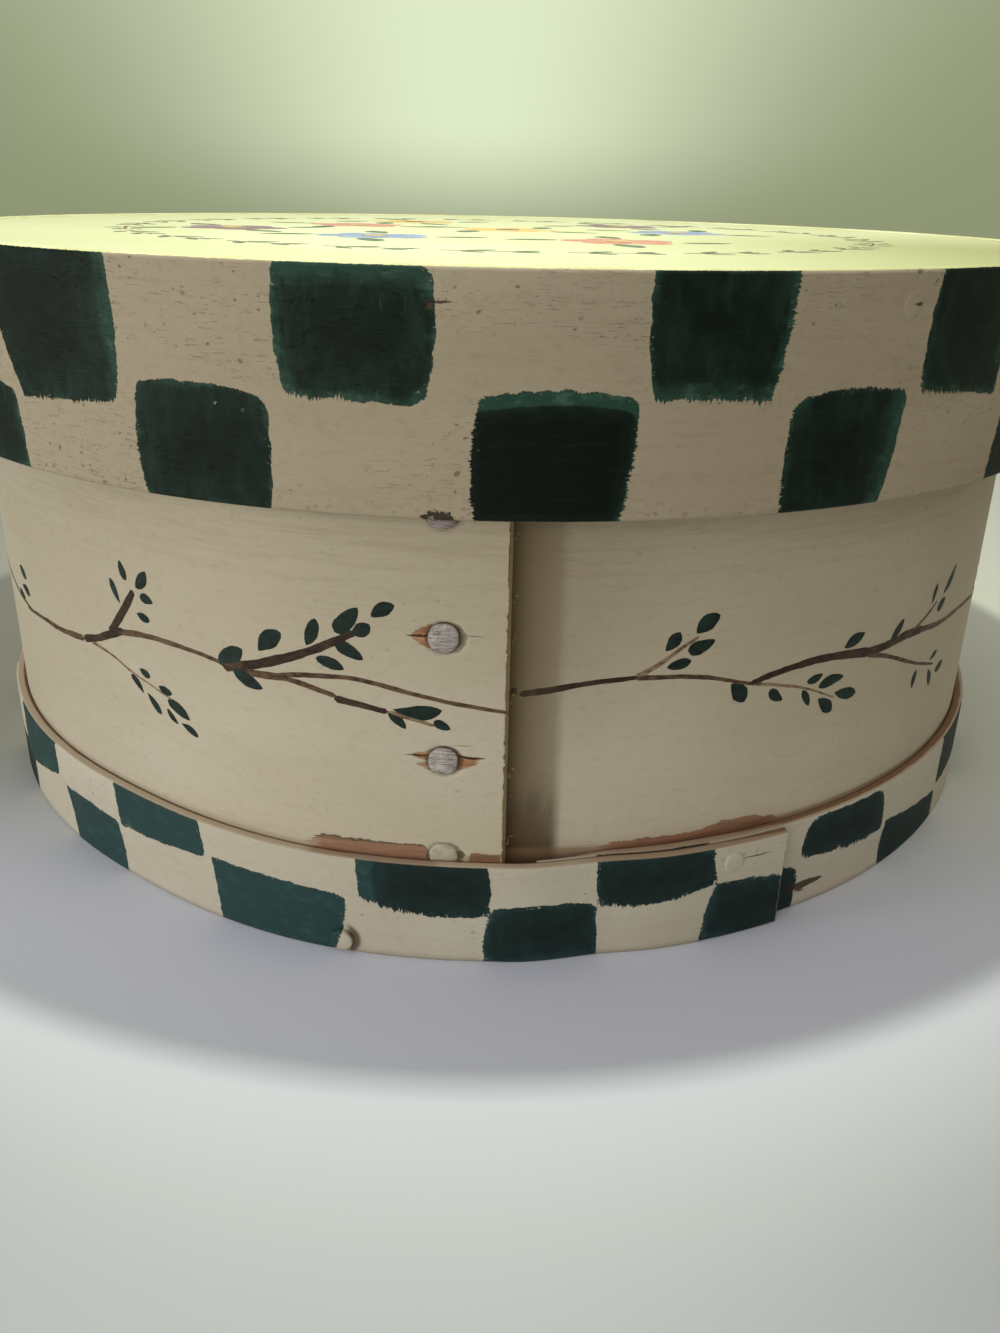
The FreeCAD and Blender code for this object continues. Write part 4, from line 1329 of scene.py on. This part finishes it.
def add_lamp(name, place, target, width, power, tint):
    """A square area lamp that shines from a place toward a target and doesn't show itself."""
    light = bpy.data.lights.new(name, "AREA")
    light.size = width
    light.energy = power
    light.color = tint
    lamp = bpy.data.objects.new(name, light)
    bpy.context.scene.collection.objects.link(lamp)
    lamp.location = place
    lamp.rotation_euler = (Vector(target) - Vector(place)).to_track_quat("-Z", "Y").to_euler()
    lamp.visible_camera = False


def make_floor():
    """A wide pale floor: a bluish painted shadow tint near the box, painted shade toward its near edge,
    stronger at the sides and on the right, and warmer behind.
    """
    turn = np.linspace(0, 2 * np.pi, 96, endpoint=False)
    rim = np.stack([FLOOR_RADIUS * np.cos(turn), FLOOR_RADIUS * np.sin(turn), 0 * turn], -1)
    mesh = bpy.data.meshes.new("floor")
    mesh.from_pydata(rim.tolist(), [], [list(range(len(turn)))])
    floor = bpy.data.objects.new("floor", mesh)
    bpy.context.scene.collection.objects.link(floor)
    finish = Finish("floor_paper")
    radius = finish.from_axis()
    # Painted shadow: a bluish tint where the box's shadow falls.
    base = finish.blend(FLOOR_SHADOW_TINT, FLOOR_FAR, radius.between(150, 215))
    # Painted shade: the floor darkens toward its near edge, more at the sides and on the right, as the
    # lamp's light falls off.
    nearer = radius.between(178, 240) * finish.y.between(0, -150)
    aside = finish.x * finish.x * (1 / 90 ** 2)
    painted_shade = nearer * (aside.smaller(1.6) * 0.08 + 0.2 + finish.x.between(0, 110) * 0.14)
    base = base.mixed(FLOOR_PAINTED_SHADE, painted_shade * finish.y.between(150, -60))
    back = finish.blend(FLOOR_BACK_LEFT, FLOOR_BACK_RIGHT, finish.x.between(-140, 140))
    base = base.mixed(back, finish.y.between(-145, -40))
    soft = finish.noise(0.004, 0.004, 0.004, 2, 0.5)
    mesh.materials.append(finish.done(base, 0.9, finish.relief(soft, 0.01, 0.1)))


def light_world():
    """Soft light from all round, stronger and cooler from the left; rays that see past the object meet a
    soft glow on grey-green instead.
    """
    world = bpy.data.worlds.new("world")
    bpy.context.scene.world = world
    world.use_nodes = True
    tree = world.node_tree
    sky = Shade(tree)
    way = sky.node("ShaderNodeTexCoord")
    across, ahead, up = way.parts()
    rightward = across * 0.5 + 0.5
    light = tree.nodes["Background"]
    sides = sky.blend(LIGHT_LEFT, LIGHT_RIGHT, rightward)
    sky.put(sides.mixed(LIGHT_OVERHEAD, up.between(0.1, 1.0) * 0.6), light.inputs["Color"])
    sky.put(0.88 - rightward * 0.5, light.inputs["Strength"])
    spread = (across + 0.045) / (up * 0.5 + 0.19)
    glow = sky.math("EXPONENT", 0 - spread * spread) * up.between(-0.07, 0.05) * ahead.between(-0.2, 0.2)
    seen = sky.node("ShaderNodeBackground", None, {"Color": sky.blend(BACKGROUND, BACKGROUND_GLOW, glow)})
    rays = [sky.node("ShaderNodeLightPath", output=name) for name in
            ("Is Camera Ray", "Is Glossy Ray", "Is Transmission Ray")]
    chosen = tree.nodes.new("ShaderNodeMixShader")
    sky.put(any_of(*rays), chosen.inputs[0])
    tree.links.new(light.outputs[0], chosen.inputs[1])
    tree.links.new(seen.socket, chosen.inputs[2])
    tree.links.new(chosen.outputs[0], tree.nodes["World Output"].inputs["Surface"])


make_bands()
make_board("bottom_board", WALL_INNER_RADIUS - BOARD_GAP, 0, BOTTOM_THICKNESS, bare_wood, "box")
make_board("lid_board", LID_INNER_RADIUS - BOARD_GAP, LID_UNDERSIDE, LID_SURFACE, lid_paint,
           "lid")
make_pegs()
make_border()
make_seam_fibres()
make_lid_design()
make_camera()
make_floor()
light_world()
for lamp_name, settings in LAMPS.items():
    add_lamp(lamp_name, *settings)
bpy.context.scene.view_settings.view_transform = "Standard"
